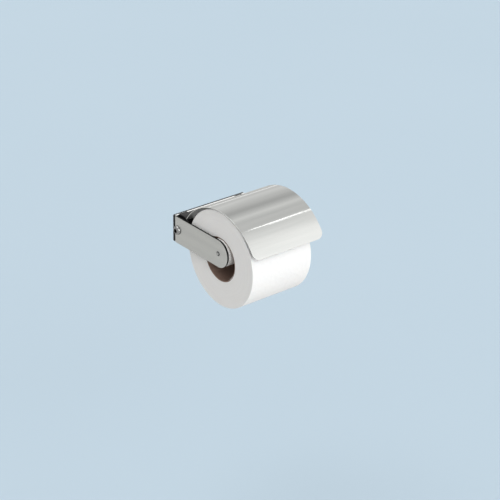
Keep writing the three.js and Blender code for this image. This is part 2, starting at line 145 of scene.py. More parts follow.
# %% [markdown]
# An effect that several finishes share is a node group with named inputs and outputs. It could be
# copied into each material instead, but a group is tuned in one place, and each material still
# gives it values of its own. The helper below makes the empty group with its sockets.

# %% Group helper
FLOAT = "NodeSocketFloat"
VECTOR = "NodeSocketVector"


def start_group(name, inputs, outputs):
    group = bpy.data.node_groups.new(name, "ShaderNodeTree")
    for label, kind, value in inputs:
        socket = group.interface.new_socket(label, in_out="INPUT", socket_type=kind)
        if value is not None:
            socket.default_value = value
    for label in outputs:
        group.interface.new_socket(label, in_out="OUTPUT", socket_type=FLOAT)
    return group, group.nodes.new("NodeGroupInput").outputs


def end_group(group, **results):
    leave = group.nodes.new("NodeGroupOutput")
    for label, socket in results.items():
        group.links.new(socket, leave.inputs[label])
    print("group", group.name, "has", len(group.nodes), "nodes")


def use_group(tree, group, values):
    made = add_node(tree, "ShaderNodeGroup", node_tree=group)
    for label, value in values.items():
        if isinstance(value, bpy.types.NodeSocket):
            tree.links.new(value, made.inputs[label])
        else:
            made.inputs[label].default_value = value
    return made.outputs


# %% [markdown]
# ## Shared effects
# **Rolled grain.** Sheet steel keeps faint lines along the direction in which it was rolled, even
# under a polish. A brushed look could come from an anisotropic shader, but here the lines are seen
# one by one in the reflections, so the group stretches a noise a hundred times longer than wide.

# %% Rolled grain
def make_rolled_grain():
    group, given = start_group(
        "rolled grain",
        [("Vector", VECTOR, None), ("Fineness", FLOAT, 900.0), ("Drift", FLOAT, 90.0)],
        ["Height", "Streaks"],
    )
    lines = stretched(group, given["Vector"], (0.01, 1.0, 1.0))
    fine = cloud(group, lines, given["Fineness"], 2.0, 0.6)
    bands = stretched(group, given["Vector"], (0.06, 1.0, 1.0))
    broad = cloud(group, bands, given["Drift"], 2.0, 0.4)
    streaks = ramp(group, broad, 0.32, 0.68)
    end_group(group, Height=fine, Streaks=streaks)
    return group


rolled_grain = make_rolled_grain()

# %% [markdown]
# **Handling marks.** Fingers leave soft patches on polished metal and smooth plastic, which only
# dull the gloss. They could be painted by hand. Two sizes of noise, cut to soft islands, do the
# same all over and need no picture.

# %% Handling marks
def make_handling_marks():
    group, given = start_group(
        "handling marks",
        [("Vector", VECTOR, None), ("Size", FLOAT, 60.0), ("Cover", FLOAT, 0.5)],
        ["Mask"],
    )
    patches = cloud(group, given["Vector"], given["Size"], 4.0, 0.55)
    edge = calculate(group, "SUBTRACT", 1.0, given["Cover"])
    soft_edge = calculate(group, "ADD", edge, 0.22)
    island = ramp(group, patches, edge, soft_edge)
    speck_scale = calculate(group, "MULTIPLY", given["Size"], 9.0)
    specks = cloud(group, given["Vector"], speck_scale, 2.0, 0.5)
    broken = ramp(group, specks, 0.35, 0.7, 0.55, 1.0)
    end_group(group, Mask=calculate(group, "MULTIPLY", island, broken))
    return group


handling_marks = make_handling_marks()

# %% [markdown]
# **Edge wear.** Corners are rubbed first: paint gets thin there and a polish gets bright. Cycles
# can find edges with its Bevel node, but that is slow and is lost outside it. Each sheet made here
# carries a number called edge, which is one on its rim, so the group only has to break it up. The
# more the reach, the lower the sum of edge and noise at which the wear starts.

# %% Edge wear
WEAR_LIMIT = 1.75
WEAR_BLUR = 0.2


def make_edge_wear():
    group, given = start_group(
        "edge wear",
        [("Edge", FLOAT, 0.0), ("Vector", VECTOR, None), ("Scale", FLOAT, 500.0), ("Reach", FLOAT, 0.5)],
        ["Mask"],
    )
    breaks = cloud(group, given["Vector"], given["Scale"], 3.0, 0.6)
    pushed = calculate(group, "ADD", given["Edge"], breaks)
    start = calculate(group, "SUBTRACT", WEAR_LIMIT, given["Reach"])
    stop = calculate(group, "ADD", start, WEAR_BLUR)
    end_group(group, Mask=ramp(group, pushed, start, stop))
    return group


edge_wear = make_edge_wear()

# %% [markdown]
# ** Tool lines.** A turned part shows the fine rings that the tool left. The group measures how far
# a point is from the part's own X axis, adds its place along it, and turns that into ripples. The
# pieces built here that use it have their origin on their axis; the kept pin and screws have theirs
# at the room's origin.

# %% Tool lines
def make_tool_lines():
    group, given = start_group(
        "tool lines",
        [("Vector", VECTOR, None), ("Pitch", FLOAT, 9000.0)],
        ["Height", "Wander", "Reach"],
    )
    parts = add_node(group, "ShaderNodeSeparateXYZ", {0: given["Vector"]}).outputs
    across = add_node(group, "ShaderNodeCombineXYZ", {1: parts[1], 2: parts[2]}).outputs[0]
    reach = add_node(group, "ShaderNodeVectorMath", {0: across}, operation="LENGTH").outputs["Value"]
    travel = calculate(group, "ADD", reach, parts[0])
    ripple = calculate(group, "SINE", calculate(group, "MULTIPLY", travel, given["Pitch"]))
    line = add_node(group, "ShaderNodeCombineXYZ", {0: travel}).outputs[0]
    wander = cloud(group, line, 1500.0, 3.0, 0.6)
    height = calculate(group, "MULTIPLY", ripple, wander)
    end_group(group, Height=height, Wander=wander, Reach=reach)
    return group


tool_lines = make_tool_lines()

# %% [markdown]
# **Moulded grain.** Plastic parts copy the fine spark-eroded skin of their mould, and powder paint
# has a softer skin of the same kind. A noise in the bump is enough, with a slower one beside it
# for the slight differences in tone over a part.

# %% Moulded grain
def make_moulded_grain():
    group, given = start_group(
        "moulded grain",
        [("Vector", VECTOR, None), ("Fineness", FLOAT, 2500.0)],
        ["Height", "Tone"],
    )
    skin = cloud(group, given["Vector"], given["Fineness"], 3.0, 0.55)
    slow = calculate(group, "MULTIPLY", given["Fineness"], 0.03)
    tone = cloud(group, given["Vector"], slow, 3.0, 0.5)
    end_group(group, Height=skin, Tone=ramp(group, tone, 0.3, 0.7))
    return group


moulded_grain = make_moulded_grain()

# %% [markdown]
# **Paper fibre.** Tissue and cardboard are both felted from fibres, which lie every way in small
# tangles. Ridged noise, bent by a second noise, gives crossing threads without drawing any.

# %% Paper fibre
def make_paper_fibre():
    group, given = start_group(
        "paper fibre",
        [("Vector", VECTOR, None), ("Fineness", FLOAT, 1200.0), ("Tangle", FLOAT, 0.002)],
        ["Height", "Tint"],
    )
    bend_scale = calculate(group, "MULTIPLY", given["Fineness"], 0.25)
    values = {"Vector": given["Vector"], "Scale": bend_scale, "Detail": 2.0}
    bends = add_node(group, "ShaderNodeTexNoise", values).outputs["Color"]
    pull = add_node(group, "ShaderNodeVectorMath", {0: bends, 3: given["Tangle"]}, operation="SCALE")
    values = {0: given["Vector"], 1: pull.outputs[0]}
    tangled = add_node(group, "ShaderNodeVectorMath", values, operation="ADD").outputs[0]
    threads = cloud(group, tangled, given["Fineness"], 4.0, 0.7)
    ridge = calculate(group, "ABSOLUTE", calculate(group, "SUBTRACT", threads, 0.5))
    height = ramp(group, ridge, 0.0, 0.18, 1.0, 0.0)
    tint = cloud(group, given["Vector"], bend_scale, 4.0, 0.6)
    end_group(group, Height=height, Tint=tint)
    return group


paper_fibre = make_paper_fibre()

# %% [markdown]
# ## Finishes
# Each finish is one Principled shader whose colour, roughness and bump come from the groups. Fixed
# numbers, such as how much a plastic reflects, are set on the shader's own sockets.

# %% Start a finish
def start_finish(name, **fixed):
    material = bpy.data.materials.new(name)
    material.use_nodes = True
    tree = material.node_tree
    shader = tree.nodes["Principled BSDF"]
    for label, value in fixed.items():
        shader.inputs[label.replace("_", " ")].default_value = value
    return material, tree, shader


def object_place(tree):
    return add_node(tree, "ShaderNodeTexCoord").outputs["Object"]


def attribute(tree, name, output="Fac"):
    return add_node(tree, "ShaderNodeAttribute", attribute_name=name).outputs[output]


def set_bump(tree, shader, height, distance, strength=1.0):
    values = {"Height": height, "Distance": distance, "Strength": strength}
    bump = add_node(tree, "ShaderNodeBump", values)
    tree.links.new(bump.outputs[0], shader.inputs["Normal"])


# %% [markdown]
# ** Polished sheet.** The strip and the cover are stainless sheet with a bright, slightly milky
# polish. Their reflections are sharp for bright edges, but broken by rolled grain and by the
# slow waves that polishing wheels leave. The grain runs along the strip and across the cover, so
# each piece carries its own grain place instead of using its place in the room. That place also
# tells how deep in the sheet a point is, so the inside of the cover gets painted shade, darker and
# rougher, and how far along the strip it is. The strip's cut edges get a painted highlight on the
# back plate, near white and hardly metal, and painted shade on the arm, nearly black, so
# painted_shade_from says where the one ends and the other begins.

# %% Polished sheet
SHEET_TONES = ((0.655, 0.665, 0.65, 1), (0.715, 0.722, 0.705, 1))
RUBBED_TONE = (0.86, 0.865, 0.85, 1)
# Painted shade for the inside of the cover.
PAINTED_INSIDE_SHADE = (0.2, 0.202, 0.205, 1)
# The pale cut colour is a painted highlight and the dark cut colour is painted shade.
PAINTED_HIGHLIGHT_CUT = (0.97, 0.97, 0.96, 1)
PAINTED_SHADE_CUT = (0.018, 0.019, 0.02, 1)
POLISH_SPREAD = 0.4


# Points more than half a millimetre deep in the sheet, on the cover's inside, get painted shade: darker
# and rougher.
def paint_inside_shade(tree, depth, colour, rough):
    inside = ramp(tree, depth, 0.5 * MM, 0.9 * MM)
    shaded_inside = blend_colours(tree, inside, colour, PAINTED_INSIDE_SHADE)
    return shaded_inside, calculate(tree, "MULTIPLY_ADD", inside, 0.3, rough)


# Painted light on the cut edges: a near-white painted highlight with little metal on the back plate, and
# nearly black painted shade on the arm.
def paint_cut_edge_light(tree, shader, along, painted_shade_from, colour, rough):
    cut = attribute(tree, "cut")
    on_arm = ramp(tree, along, painted_shade_from - 1 * MM, painted_shade_from + 1 * MM)
    on_plate = calculate(tree, "SUBTRACT", 1.0, on_arm)
    painted_cut = blend_colours(tree, on_arm, PAINTED_HIGHLIGHT_CUT, PAINTED_SHADE_CUT)
    highlight_share = calculate(tree, "MULTIPLY", cut, on_plate)
    tree.links.new(ramp(tree, highlight_share, 0.0, 1.0, 1.0, 0.1), shader.inputs["Metallic"])
    edged = blend_colours(tree, cut, colour, painted_cut)
    return edged, calculate(tree, "MULTIPLY_ADD", cut, 0.4, rough)


def make_polished_sheet(name, roughness, wave, painted_shade_from=None):
    material, tree, shader = start_finish(name, Metallic=1.0)
    place = attribute(tree, "grain", "Vector")
    grain = use_group(tree, rolled_grain, {"Vector": place})
    marks = use_group(tree, handling_marks, {"Vector": place, "Size": 70.0, "Cover": 0.46})["Mask"]
    values = {"Edge": attribute(tree, "edge"), "Vector": place, "Scale": 900.0, "Reach": 0.55}
    rubbed = use_group(tree, edge_wear, values)["Mask"]
    steel = blend_colours(tree, grain["Streaks"], *SHEET_TONES)
    colour = blend_colours(tree, rubbed, steel, RUBBED_TONE)
    spread = roughness * POLISH_SPREAD
    marked = calculate(tree, "MULTIPLY_ADD", marks, spread, roughness)
    rough = calculate(tree, "MULTIPLY_ADD", grain["Streaks"], spread, marked)
    along, _, depth = add_node(tree, "ShaderNodeSeparateXYZ", {0: place}).outputs
    if painted_shade_from is None:
        colour, rough = paint_inside_shade(tree, depth, colour, rough)
    else:
        colour, rough = paint_cut_edge_light(tree, shader, along, painted_shade_from, colour, rough)
    tree.links.new(colour, shader.inputs["Base Color"])
    tree.links.new(rough, shader.inputs["Roughness"])
    slow_wave = cloud(tree, stretched(tree, place, (0.35, 1.0, 1.0)), 55.0, 1.0, 0.3)
    fine_lines = calculate(tree, "MULTIPLY", grain["Height"], 0.02)
    height = calculate(tree, "MULTIPLY_ADD", slow_wave, wave, fine_lines)
    set_bump(tree, shader, height, 1 * MM)
    return material


polished_strip = make_polished_sheet("polished_strip", 0.17, 0.2, 100 * MM)
polished_cover = make_polished_sheet("polished_cover", 0.06, 0.05)
print("finishes:", polished_strip.name, polished_cover.name)

# %% [markdown]
# ** Turned steel.** The screws, the axle and the end washer are turned, not polished, and the head
# of the locking screw is tumbled bright. One builder makes them all from the tool lines, with the
# gloss, the depth of the lines and the tones as its choices. Two of the finishes also have a dark
# ring of painted shade at a given distance from their axis: in the locking screw's socket, and
# round the axle's riveted end.

# %% Turned steel
TURNED_TONES = ((0.46, 0.47, 0.47, 1), (0.6, 0.61, 0.6, 1))
TUMBLED_TONES = ((0.3, 0.305, 0.305, 1), (0.5, 0.5, 0.5, 1))
# Colour of the painted shade ring in the locking screw's socket and round the rivet's dome.
PAINTED_RECESS_SHADE = (0.015, 0.015, 0.015, 1)


# A dark ring of painted shade at one distance from the part's axis.
def add_painted_shade_ring(tree, reach, radius, steel):
    off_ring = calculate(tree, "ABSOLUTE", calculate(tree, "SUBTRACT", reach, radius))
    in_ring = ramp(tree, off_ring, 0.2 * MM, 0.7 * MM, 1.0, 0.0)
    return blend_colours(tree, in_ring, steel, PAINTED_RECESS_SHADE)


def make_turned_steel(name, roughness, depth, tones, shade_ring=None):
    material, tree, shader = start_finish(name, Metallic=1.0)
    place = object_place(tree)
    lines = use_group(tree, tool_lines, {"Vector": place})
    marks = use_group(tree, handling_marks, {"Vector": place, "Size": 400.0, "Cover": 0.45})["Mask"]
    steel = blend_colours(tree, lines["Wander"], *tones)
    if shade_ring is not None:
        steel = add_painted_shade_ring(tree, lines["Reach"], shade_ring, steel)
    tree.links.new(steel, shader.inputs["Base Color"])
    rough = calculate(tree, "MULTIPLY_ADD", marks, 0.1, roughness)
    tree.links.new(rough, shader.inputs["Roughness"])
    set_bump(tree, shader, lines["Height"], depth)
    return material


turned_steel = make_turned_steel("turned_steel", 0.3, 0.02 * MM, TURNED_TONES)
bright_steel = make_turned_steel("bright_steel", 0.12, 0.004 * MM, TUMBLED_TONES, 2.2 * MM)
rivet_steel = make_turned_steel("rivet_steel", 0.3, 0.02 * MM, TURNED_TONES, 2.1 * MM)
print("finishes:", turned_steel.name, bright_steel.name, rivet_steel.name)

# %% [markdown]
# **Dark plate.** The wall plate has a thin, dark powder paint. It rubs through to the steel on its
# rim, so the same mask that changes the colour also makes those places metal.

# %% Dark paint
PAINT_TONES = ((0.018, 0.021, 0.024, 1), (0.03, 0.034, 0.038, 1))
PAINT_DUST = (0.05, 0.054, 0.058, 1)
BARE_RIM = (0.5, 0.5, 0.49, 1)


def make_dark_paint():
    material, tree, shader = start_finish("dark_paint", IOR=1.48)
    place = attribute(tree, "grain", "Vector")
    skin = use_group(tree, moulded_grain, {"Vector": place, "Fineness": 1400.0})
    marks = use_group(tree, handling_marks, {"Vector": place, "Size": 90.0, "Cover": 0.5})["Mask"]
    values = {"Edge": attribute(tree, "edge"), "Vector": place, "Scale": 700.0, "Reach": 0.18}
    rubbed = use_group(tree, edge_wear, values)["Mask"]
    paint = blend_colours(tree, skin["Tone"], *PAINT_TONES)
    dusty = blend_colours(tree, marks, paint, PAINT_DUST)
    tree.links.new(blend_colours(tree, rubbed, dusty, BARE_RIM), shader.inputs["Base Color"])
    tree.links.new(rubbed, shader.inputs["Metallic"])
    tree.links.new(ramp(tree, marks, 0.0, 1.0, 0.42, 0.6), shader.inputs["Roughness"])
    set_bump(tree, shader, skin["Height"], 0.06 * MM)
    return material


dark_paint = make_dark_paint()
print("finish:", dark_paint.name)

# %% [markdown]
# **Moulded plastics.** The hinge blocks, the bush and the end cap are black, and the thin washers
# are grey nylon, which is waxier. Both share the moulded grain, and fingers polish it in patches.

# %% Moulded plastics
BLACK_TONES = ((0.006, 0.006, 0.007, 1), (0.013, 0.013, 0.014, 1))
NYLON_TONES = ((0.2, 0.2, 0.205, 1), (0.27, 0.27, 0.27, 1))


def make_plastic(name, tones, roughness, fineness, **fixed):
    material, tree, shader = start_finish(name, **fixed)
    place = object_place(tree)
    skin = use_group(tree, moulded_grain, {"Vector": place, "Fineness": fineness})
    marks = use_group(tree, handling_marks, {"Vector": place, "Size": 160.0, "Cover": 0.5})["Mask"]
    tree.links.new(blend_colours(tree, skin["Tone"], *tones), shader.inputs["Base Color"])
    polished = calculate(tree, "MULTIPLY_ADD", marks, -0.12, roughness)
    tree.links.new(polished, shader.inputs["Roughness"])
    set_bump(tree, shader, skin["Height"], 0.04 * MM)
    return material


black_plastic = make_plastic("black_plastic", BLACK_TONES, 0.46, 2600.0, IOR=1.5)
grey_nylon = make_plastic(
    "grey_nylon", NYLON_TONES, 0.5, 1800.0, IOR=1.53,
    Subsurface_Weight=0.1, Subsurface_Radius=(1 * MM, 1 * MM, 1 * MM),
)
print("finishes:", black_plastic.name, grey_nylon.name)

# %% [markdown]
# **The roller's finish.** The tube that the roll turns on is much paler and duller than the strip,
# and shows as a pale crescent in the shade of the core. A mirror would only reflect that shade, so
# the tube gets a light satin coat with hardly any metal in it, which the cardboard rubs in rings.

# %% Roller finish
COAT_TONES = ((0.86, 0.86, 0.85, 1), (0.95, 0.95, 0.94, 1))


def make_rubbed_tube():
    material, tree, shader = start_finish("rubbed_tube", Metallic=0.1)
    place = object_place(tree)
    lines = use_group(tree, tool_lines, {"Vector": place, "Pitch": 5200.0})
    marks = use_group(tree, handling_marks, {"Vector": place, "Size": 120.0, "Cover": 0.5})["Mask"]
    coat = blend_colours(tree, lines["Wander"], *COAT_TONES)
    tree.links.new(coat, shader.inputs["Base Color"])
    tree.links.new(ramp(tree, marks, 0.0, 1.0, 0.34, 0.5), shader.inputs["Roughness"])
    set_bump(tree, shader, lines["Height"], 0.01 * MM)
    return material


rubbed_tube = make_rubbed_tube()
print("finish:", rubbed_tube.name)

# %% [markdown]
# **Cardboard.** The core is wound from strips of grey-brown board, so a seam runs round it as a
# helix. The seam is found from the place along the axis and the angle about it, as a screw thread
# is, and shows as a thin dark groove over the felted fibres.

# %% Cardboard
SEAM_RISE = 62 * MM
SEAM_WIDTH = 0.014
BOARD_TONES = ((0.18, 0.113, 0.088, 1), (0.27, 0.175, 0.14, 1))
BOARD_FLECK = (0.36, 0.28, 0.22, 1)
SEAM_TONE = (0.06, 0.04, 0.03, 1)
WHOLE_TURNS = 8.0


def helix(tree, place, rise):
    parts = add_node(tree, "ShaderNodeSeparateXYZ", {0: place}).outputs
    angle = calculate(tree, "ARCTAN2", parts[2], parts[1])
    turn = calculate(tree, "DIVIDE", angle, math.tau)
    along = calculate(tree, "DIVIDE", parts[0], rise)
    advance = calculate(tree, "ADD", turn, along)
    return calculate(tree, "FRACT", calculate(tree, "ADD", advance, WHOLE_TURNS))


def make_cardboard():
    material, tree, shader = start_finish("cardboard", IOR=1.45, Specular_IOR_Level=0.25)
    place = object_place(tree)
    fibre = use_group(tree, paper_fibre, {"Vector": place, "Fineness": 1500.0, "Tangle": 0.0015})
    round_seam = calculate(tree, "SUBTRACT", helix(tree, place, SEAM_RISE), 0.5)
    from_seam = calculate(tree, "ABSOLUTE", round_seam)
    seam = ramp(tree, from_seam, 0.0, SEAM_WIDTH, 1.0, 0.0)
    board = blend_colours(tree, fibre["Tint"], *BOARD_TONES)
    flecks = calculate(tree, "MULTIPLY", fibre["Height"], 0.25)
    flecked = blend_colours(tree, flecks, board, BOARD_FLECK)
    seam_shade = calculate(tree, "MULTIPLY", seam, 0.6)
    tree.links.new(blend_colours(tree, seam_shade, flecked, SEAM_TONE), shader.inputs["Base Color"])
    tree.links.new(ramp(tree, fibre["Tint"], 0.3, 0.7, 0.78, 0.95), shader.inputs["Roughness"])
    threads = calculate(tree, "MULTIPLY", fibre["Height"], 0.3)
    set_bump(tree, shader, calculate(tree, "SUBTRACT", threads, seam), 0.2 * MM)
    return material


cardboard = make_cardboard()
print("finish:", cardboard.name)

# %% [markdown]
# **Tissue.** White two-ply paper is soft and a little see-through, so some light goes on under its
# surface. On the ends hundreds of wound edges show as faint, slightly uneven rings. Round the
# outside there is crepe: short wrinkles across the sheet, with a row of perforations at each
# sheet's end. One graph makes all three, and the surface's own direction says which to show.

# %% Tissue
SHEET_LENGTH = 120 * MM
TISSUE_RADIUS = 56.5 * MM
TEAR_WIDTH = 0.004
SLIT_PITCH = 2100.0
RING_SWAY = 1.2 * MM
END_TONES = ((0.845, 0.843, 0.837, 1), (0.86, 0.858, 0.852, 1))
SIDE_TONES = ((0.89, 0.895, 0.9, 1), (0.92, 0.925, 0.93, 1))


def wound_rings(tree, place):
    parts = add_node(tree, "ShaderNodeSeparateXYZ", {0: place}).outputs
    flat = add_node(tree, "ShaderNodeCombineXYZ", {1: parts[1], 2: parts[2]}).outputs[0]
    reach = add_node(tree, "ShaderNodeVectorMath", {0: flat}, operation="LENGTH").outputs["Value"]
    sway = calculate(tree, "MULTIPLY", cloud(tree, flat, 45.0, 2.0, 0.5), RING_SWAY)
    swayed = calculate(tree, "ADD", reach, sway)
    ring_place = add_node(tree, "ShaderNodeCombineXYZ", {0: swayed}).outputs[0]
    values = {0: ring_place, 1: stretched(tree, flat, (0.08, 0.08, 0.08))}
    spread = add_node(tree, "ShaderNodeVectorMath", values, operation="ADD").outputs[0]
    return cloud(tree, spread, 2600.0, 3.0, 0.75), cloud(tree, spread, 420.0, 2.0, 0.5)


def perforation(tree, place):
    parts = add_node(tree, "ShaderNodeSeparateXYZ", {0: place}).outputs
    angle = calculate(tree, "ARCTAN2", parts[2], parts[1])
    sheets = calculate(tree, "MULTIPLY", angle, TISSUE_RADIUS / SHEET_LENGTH)
    into_sheet = calculate(tree, "SUBTRACT", calculate(tree, "FRACT", sheets), 0.5)
    from_tear = calculate(tree, "ABSOLUTE", into_sheet)
    line = ramp(tree, from_tear, 0.0, TEAR_WIDTH, 1.0, 0.0)
    along = calculate(tree, "MULTIPLY", parts[0], SLIT_PITCH)
    slits = ramp(tree, calculate(tree, "SINE", along), -0.4, 0.2)
    return calculate(tree, "MULTIPLY", line, slits)


def crepe_sheet(tree, place):
    crepe = cloud(tree, stretched(tree, place, (0.25, 1.0, 1.0)), 1300.0, 3.0, 0.6)
    values = {"Vector": place, "Scale": 260.0, "Smoothness": 0.6}
    quilt = add_node(tree, "ShaderNodeTexVoronoi", values, feature="SMOOTH_F1").outputs["Distance"]
    sheet = calculate(tree, "MULTIPLY_ADD", quilt, 0.8, calculate(tree, "MULTIPLY", crepe, 0.6))
    torn = calculate(tree, "MULTIPLY", perforation(tree, place), 1.5)
    return calculate(tree, "SUBTRACT", sheet, torn)


def make_tissue():
    material, tree, shader = start_finish(
        "tissue", IOR=1.4, Specular_IOR_Level=0.2, Sheen_Weight=0.1, Subsurface_Weight=0.15,
        Subsurface_Radius=(2.0 * MM, 1.8 * MM, 1.6 * MM), Subsurface_Scale=1.0,
    )
    place = object_place(tree)
    normal = add_node(tree, "ShaderNodeTexCoord").outputs["Normal"]
    sideways = add_node(tree, "ShaderNodeSeparateXYZ", {0: normal}).outputs[0]
    on_end = ramp(tree, calculate(tree, "ABSOLUTE", sideways), 0.35, 0.8)
    fibre = use_group(tree, paper_fibre, {"Vector": place, "Fineness": 900.0, "Tangle": 0.003})
    fine_rings, broad_rings = wound_rings(tree, place)
    ring_tone = ramp(tree, broad_rings, 0.3, 0.7)
    end_colour = blend_colours(tree, ring_tone, *END_TONES)
    side_colour = blend_colours(tree, fibre["Tint"], *SIDE_TONES)
    tree.links.new(blend_colours(tree, on_end, side_colour, end_colour), shader.inputs["Base Color"])
    tree.links.new(ramp(tree, fibre["Tint"], 0.2, 0.8, 0.82, 0.96), shader.inputs["Roughness"])
    side = crepe_sheet(tree, place)
    fine = calculate(tree, "MULTIPLY", fine_rings, 0.6)
    end = calculate(tree, "MULTIPLY_ADD", broad_rings, 0.2, fine)
    height = add_node(tree, "ShaderNodeMix", {0: on_end, 2: side, 3: end}).outputs[0]
    set_bump(tree, shader, height, 0.22 * MM)
    return material


tissue = make_tissue()
print("finish:", tissue.name)

# %% [markdown]
# ## From numbers to pieces
# Every piece ends the same way: its mesh becomes an object with its finish, rides on the body
# that moves it, and stands for the solids that it refines. A round piece is given its axis as its
# origin, so that its finish can measure from there.

# %% Piece helper
def add_piece(name, mesh, finish, body, nodes, origin=(0, 0, 0)):
    piece = bpy.data.objects.new(name, mesh)
    piece.location = origin
    scene.collection.objects.link(piece)
    mesh.materials.append(finish)
    bpy.context.view_layer.update()
    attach(piece, body)
    if nodes:
        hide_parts(*nodes)
    print(name, "has", len(mesh.polygons), "faces")
    return piece


def middle(node):
    low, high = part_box(node)
    return (Vector(low) + Vector(high)) / 2


# %% [markdown]
# ## Outlines
# Sheet parts are cut from a flat outline, and turned parts are swept from a profile. Real corners
# are never quite sharp, and a thin highlight along them is what makes a part look made. So one
# helper rounds any corner, and also gives the exact outward direction at each point, from which
# the smooth shading is set. That is more exact than letting Blender average the faces.

# %% Rounded outlines
def right_of(direction):
    return Vector((direction.y, -direction.x))


def round_corner(before, corner, after, radius, steps):
    to_before = (before - corner).normalized()
    to_after = (after - corner).normalized()
    half = to_before.angle(to_after) / 2
    reach = radius / math.tan(half)
    centre = corner + (to_before + to_after).normalized() * radius / math.sin(half)
    start = corner + to_before * reach - centre
    turn = start.angle_signed(corner + to_after * reach - centre)
    first_side = right_of(-to_before)
    points = []
    for step in range(steps + 1):
        spin = Matrix.Rotation(-turn * step / steps, 2)
        points.append((centre + spin @ start, spin @ first_side))
    return points


def rounded_outline(corners, steps=4, closed=True):
    """Corners are (x, y, radius), with the material on the left of the way round."""
    places = [Vector(corner[:2]) for corner in corners]
    count = len(places)
    points = []
    for i, place in enumerate(places):
        if not closed and i in (0, count - 1):
            other = places[1] - place if i == 0 else place - places[-2]
            points.append((place, right_of(other.normalized())))
        else:
            after = places[(i + 1) % count]
            points += round_corner(places[i - 1], place, after, corners[i][2], steps)
    return points


sample = rounded_outline([(0, 0, 1), (9, 0, 1), (9, 9, 1), (0, 9, 1)])
print("a rounded square has", len(sample), "points")

# %% [markdown]
# ## Turned parts
# A lathe turns a bar and a tool draws the profile. Blender's Screw modifier sweeps a profile too,
# but building the rings here keeps the exact directions for shading. Points at radius zero become
# one middle point, and other profiles close on themselves, as for a tube.

# %% Lathe
def set_smooth(mesh, normals):
    mesh.polygons.foreach_set("use_smooth", [True] * len(mesh.polygons))
    mesh.normals_split_custom_set_from_vertices(normals)
    mesh.update()


def turned(name, corners, sides, steps=4, closed=True):
    """Corners are (x, radius, rounding), in metres, about the X axis."""
    profile = rounded_outline(corners, steps, closed)
    form = bmesh.new()
    normals = []
    rings = []
    for point, direction in profile:
        ring = []
        at_axis = point.y < 1e-7
        for side in range(1 if at_axis else sides):
            angle = math.tau * side / sides
            spoke = Vector((0, math.cos(angle), math.sin(angle)))
            ring.append(form.verts.new(spoke * point.y + Vector((point.x, 0, 0))))
            axial = Vector((math.copysign(1, direction.x), 0, 0))
            normals.append(axial if at_axis else spoke * direction.y + Vector((direction.x, 0, 0)))
        rings.append(ring)
    pairs = list(zip(rings, rings[1:]))
    if closed:
        pairs.append((rings[-1], rings[0]))
    for first, second in pairs:
        for side in range(sides):
            following = (side + 1) % sides
            corners_used = []
            for vert in (
                first[side % len(first)], first[following % len(first)],
                second[following % len(second)], second[side % len(second)],
            ):
                if vert not in corners_used:
                    corners_used.append(vert)
            form.faces.new(corners_used)
    bmesh.ops.recalc_face_normals(form, faces=form.faces)
    mesh = bpy.data.meshes.new(name)
    form.to_mesh(mesh)
    form.free()
    set_smooth(mesh, normals)
    return mesh


# %% [markdown]
# ## Sheet parts
# A sheet part is made as in a workshop. First the flat **blank** is cut, with its holes and with
# slightly broken edges. Then it is **scored** across where it will bend, so that there are enough
# edges, and last it is **formed** along a route of straights and bends. Solidify and Bevel
# modifiers on a bent grid could do nearly this, but they can't cut clean holes, and here the
# grain, the rim and the shading directions are carried from the flat sheet to the finished part.

# %% Cut a blank
EDGE_STEPS = 3
CUT_TILT = math.radians(70)


def break_steps(thickness, edge, margin):
    """Steps over a rim from one face to the other: (inset, height, tilt, rim amount)."""
    steps = [(edge + margin, 0.0, -math.pi / 2, 0.0)]
    for side, base in ((-1, edge), (1, thickness - edge)):
        tilts = [math.pi / 2 * i / EDGE_STEPS for i in range(EDGE_STEPS + 1)]
        for tilt in reversed(tilts) if side < 0 else tilts:
            amount = 1.0 if tilt < 1.5 else 0.75
            height = base + side * edge * math.sin(tilt)
            steps.append((edge - edge * math.cos(tilt), height, side * tilt, amount))
    steps.append((edge + margin, thickness, math.pi / 2, 0.0))
    return steps


def cap(form, loops, verts, up):
    flat = [[Vector((vert.co.x, vert.co.y, 0)) for vert in loop] for loop in loops]
    for triangle in geometry.tessellate_polygon(flat):
        corners = [verts[i] for i in triangle]
        if geometry.normal([corner.co for corner in corners]).z * up < 0:
            corners.reverse()
        form.faces.new(corners)


def cut_blank(loops, thickness, edge, margin=0.8 * MM):
    """The first loop goes anticlockwise and the holes clockwise; each is a rounded outline."""
    form = bmesh.new()
    facing = form.verts.layers.float_vector.new("facing")
    rim = form.verts.layers.float.new("edge")
    cut = form.verts.layers.float.new("cut")
    lowest = []
    highest = []
    for loop in loops:
        rings = []
        for inset, height, tilt, amount in break_steps(thickness, edge, margin):
            ring = []
            for place, out in loop:
                inner = place - out * inset
                vert = form.verts.new((inner.x, inner.y, height))
                vert[facing] = (out.x * math.cos(tilt), out.y * math.cos(tilt), math.sin(tilt))
                vert[rim] = amount
                vert[cut] = 1.0 if abs(tilt) < CUT_TILT else 0.0
                ring.append(vert)
            rings.append(ring)
        for low, high in zip(rings, rings[1:]):
            for i in range(len(low)):
                form.faces.new((low[i - 1], low[i], high[i], high[i - 1]))
        lowest.append(rings[0])
        highest.append(rings[-1])
    for loop_set, up in ((lowest, -1), (highest, 1)):
        cap(form, loop_set, [vert for ring in loop_set for vert in ring], up)
    return form


def score(form, lengths):
    for length in lengths:
        parts = form.verts[:] + form.edges[:] + form.faces[:]
        bmesh.ops.bisect_plane(form, geom=parts, dist=1e-8, plane_co=(length, 0, 0), plane_no=(1, 0, 0))


# %% Form a blank along a route
def straight_route(origin, along, inward):
    return lambda length: (Vector(origin) + Vector(along) * length, Vector(along), Vector(inward))


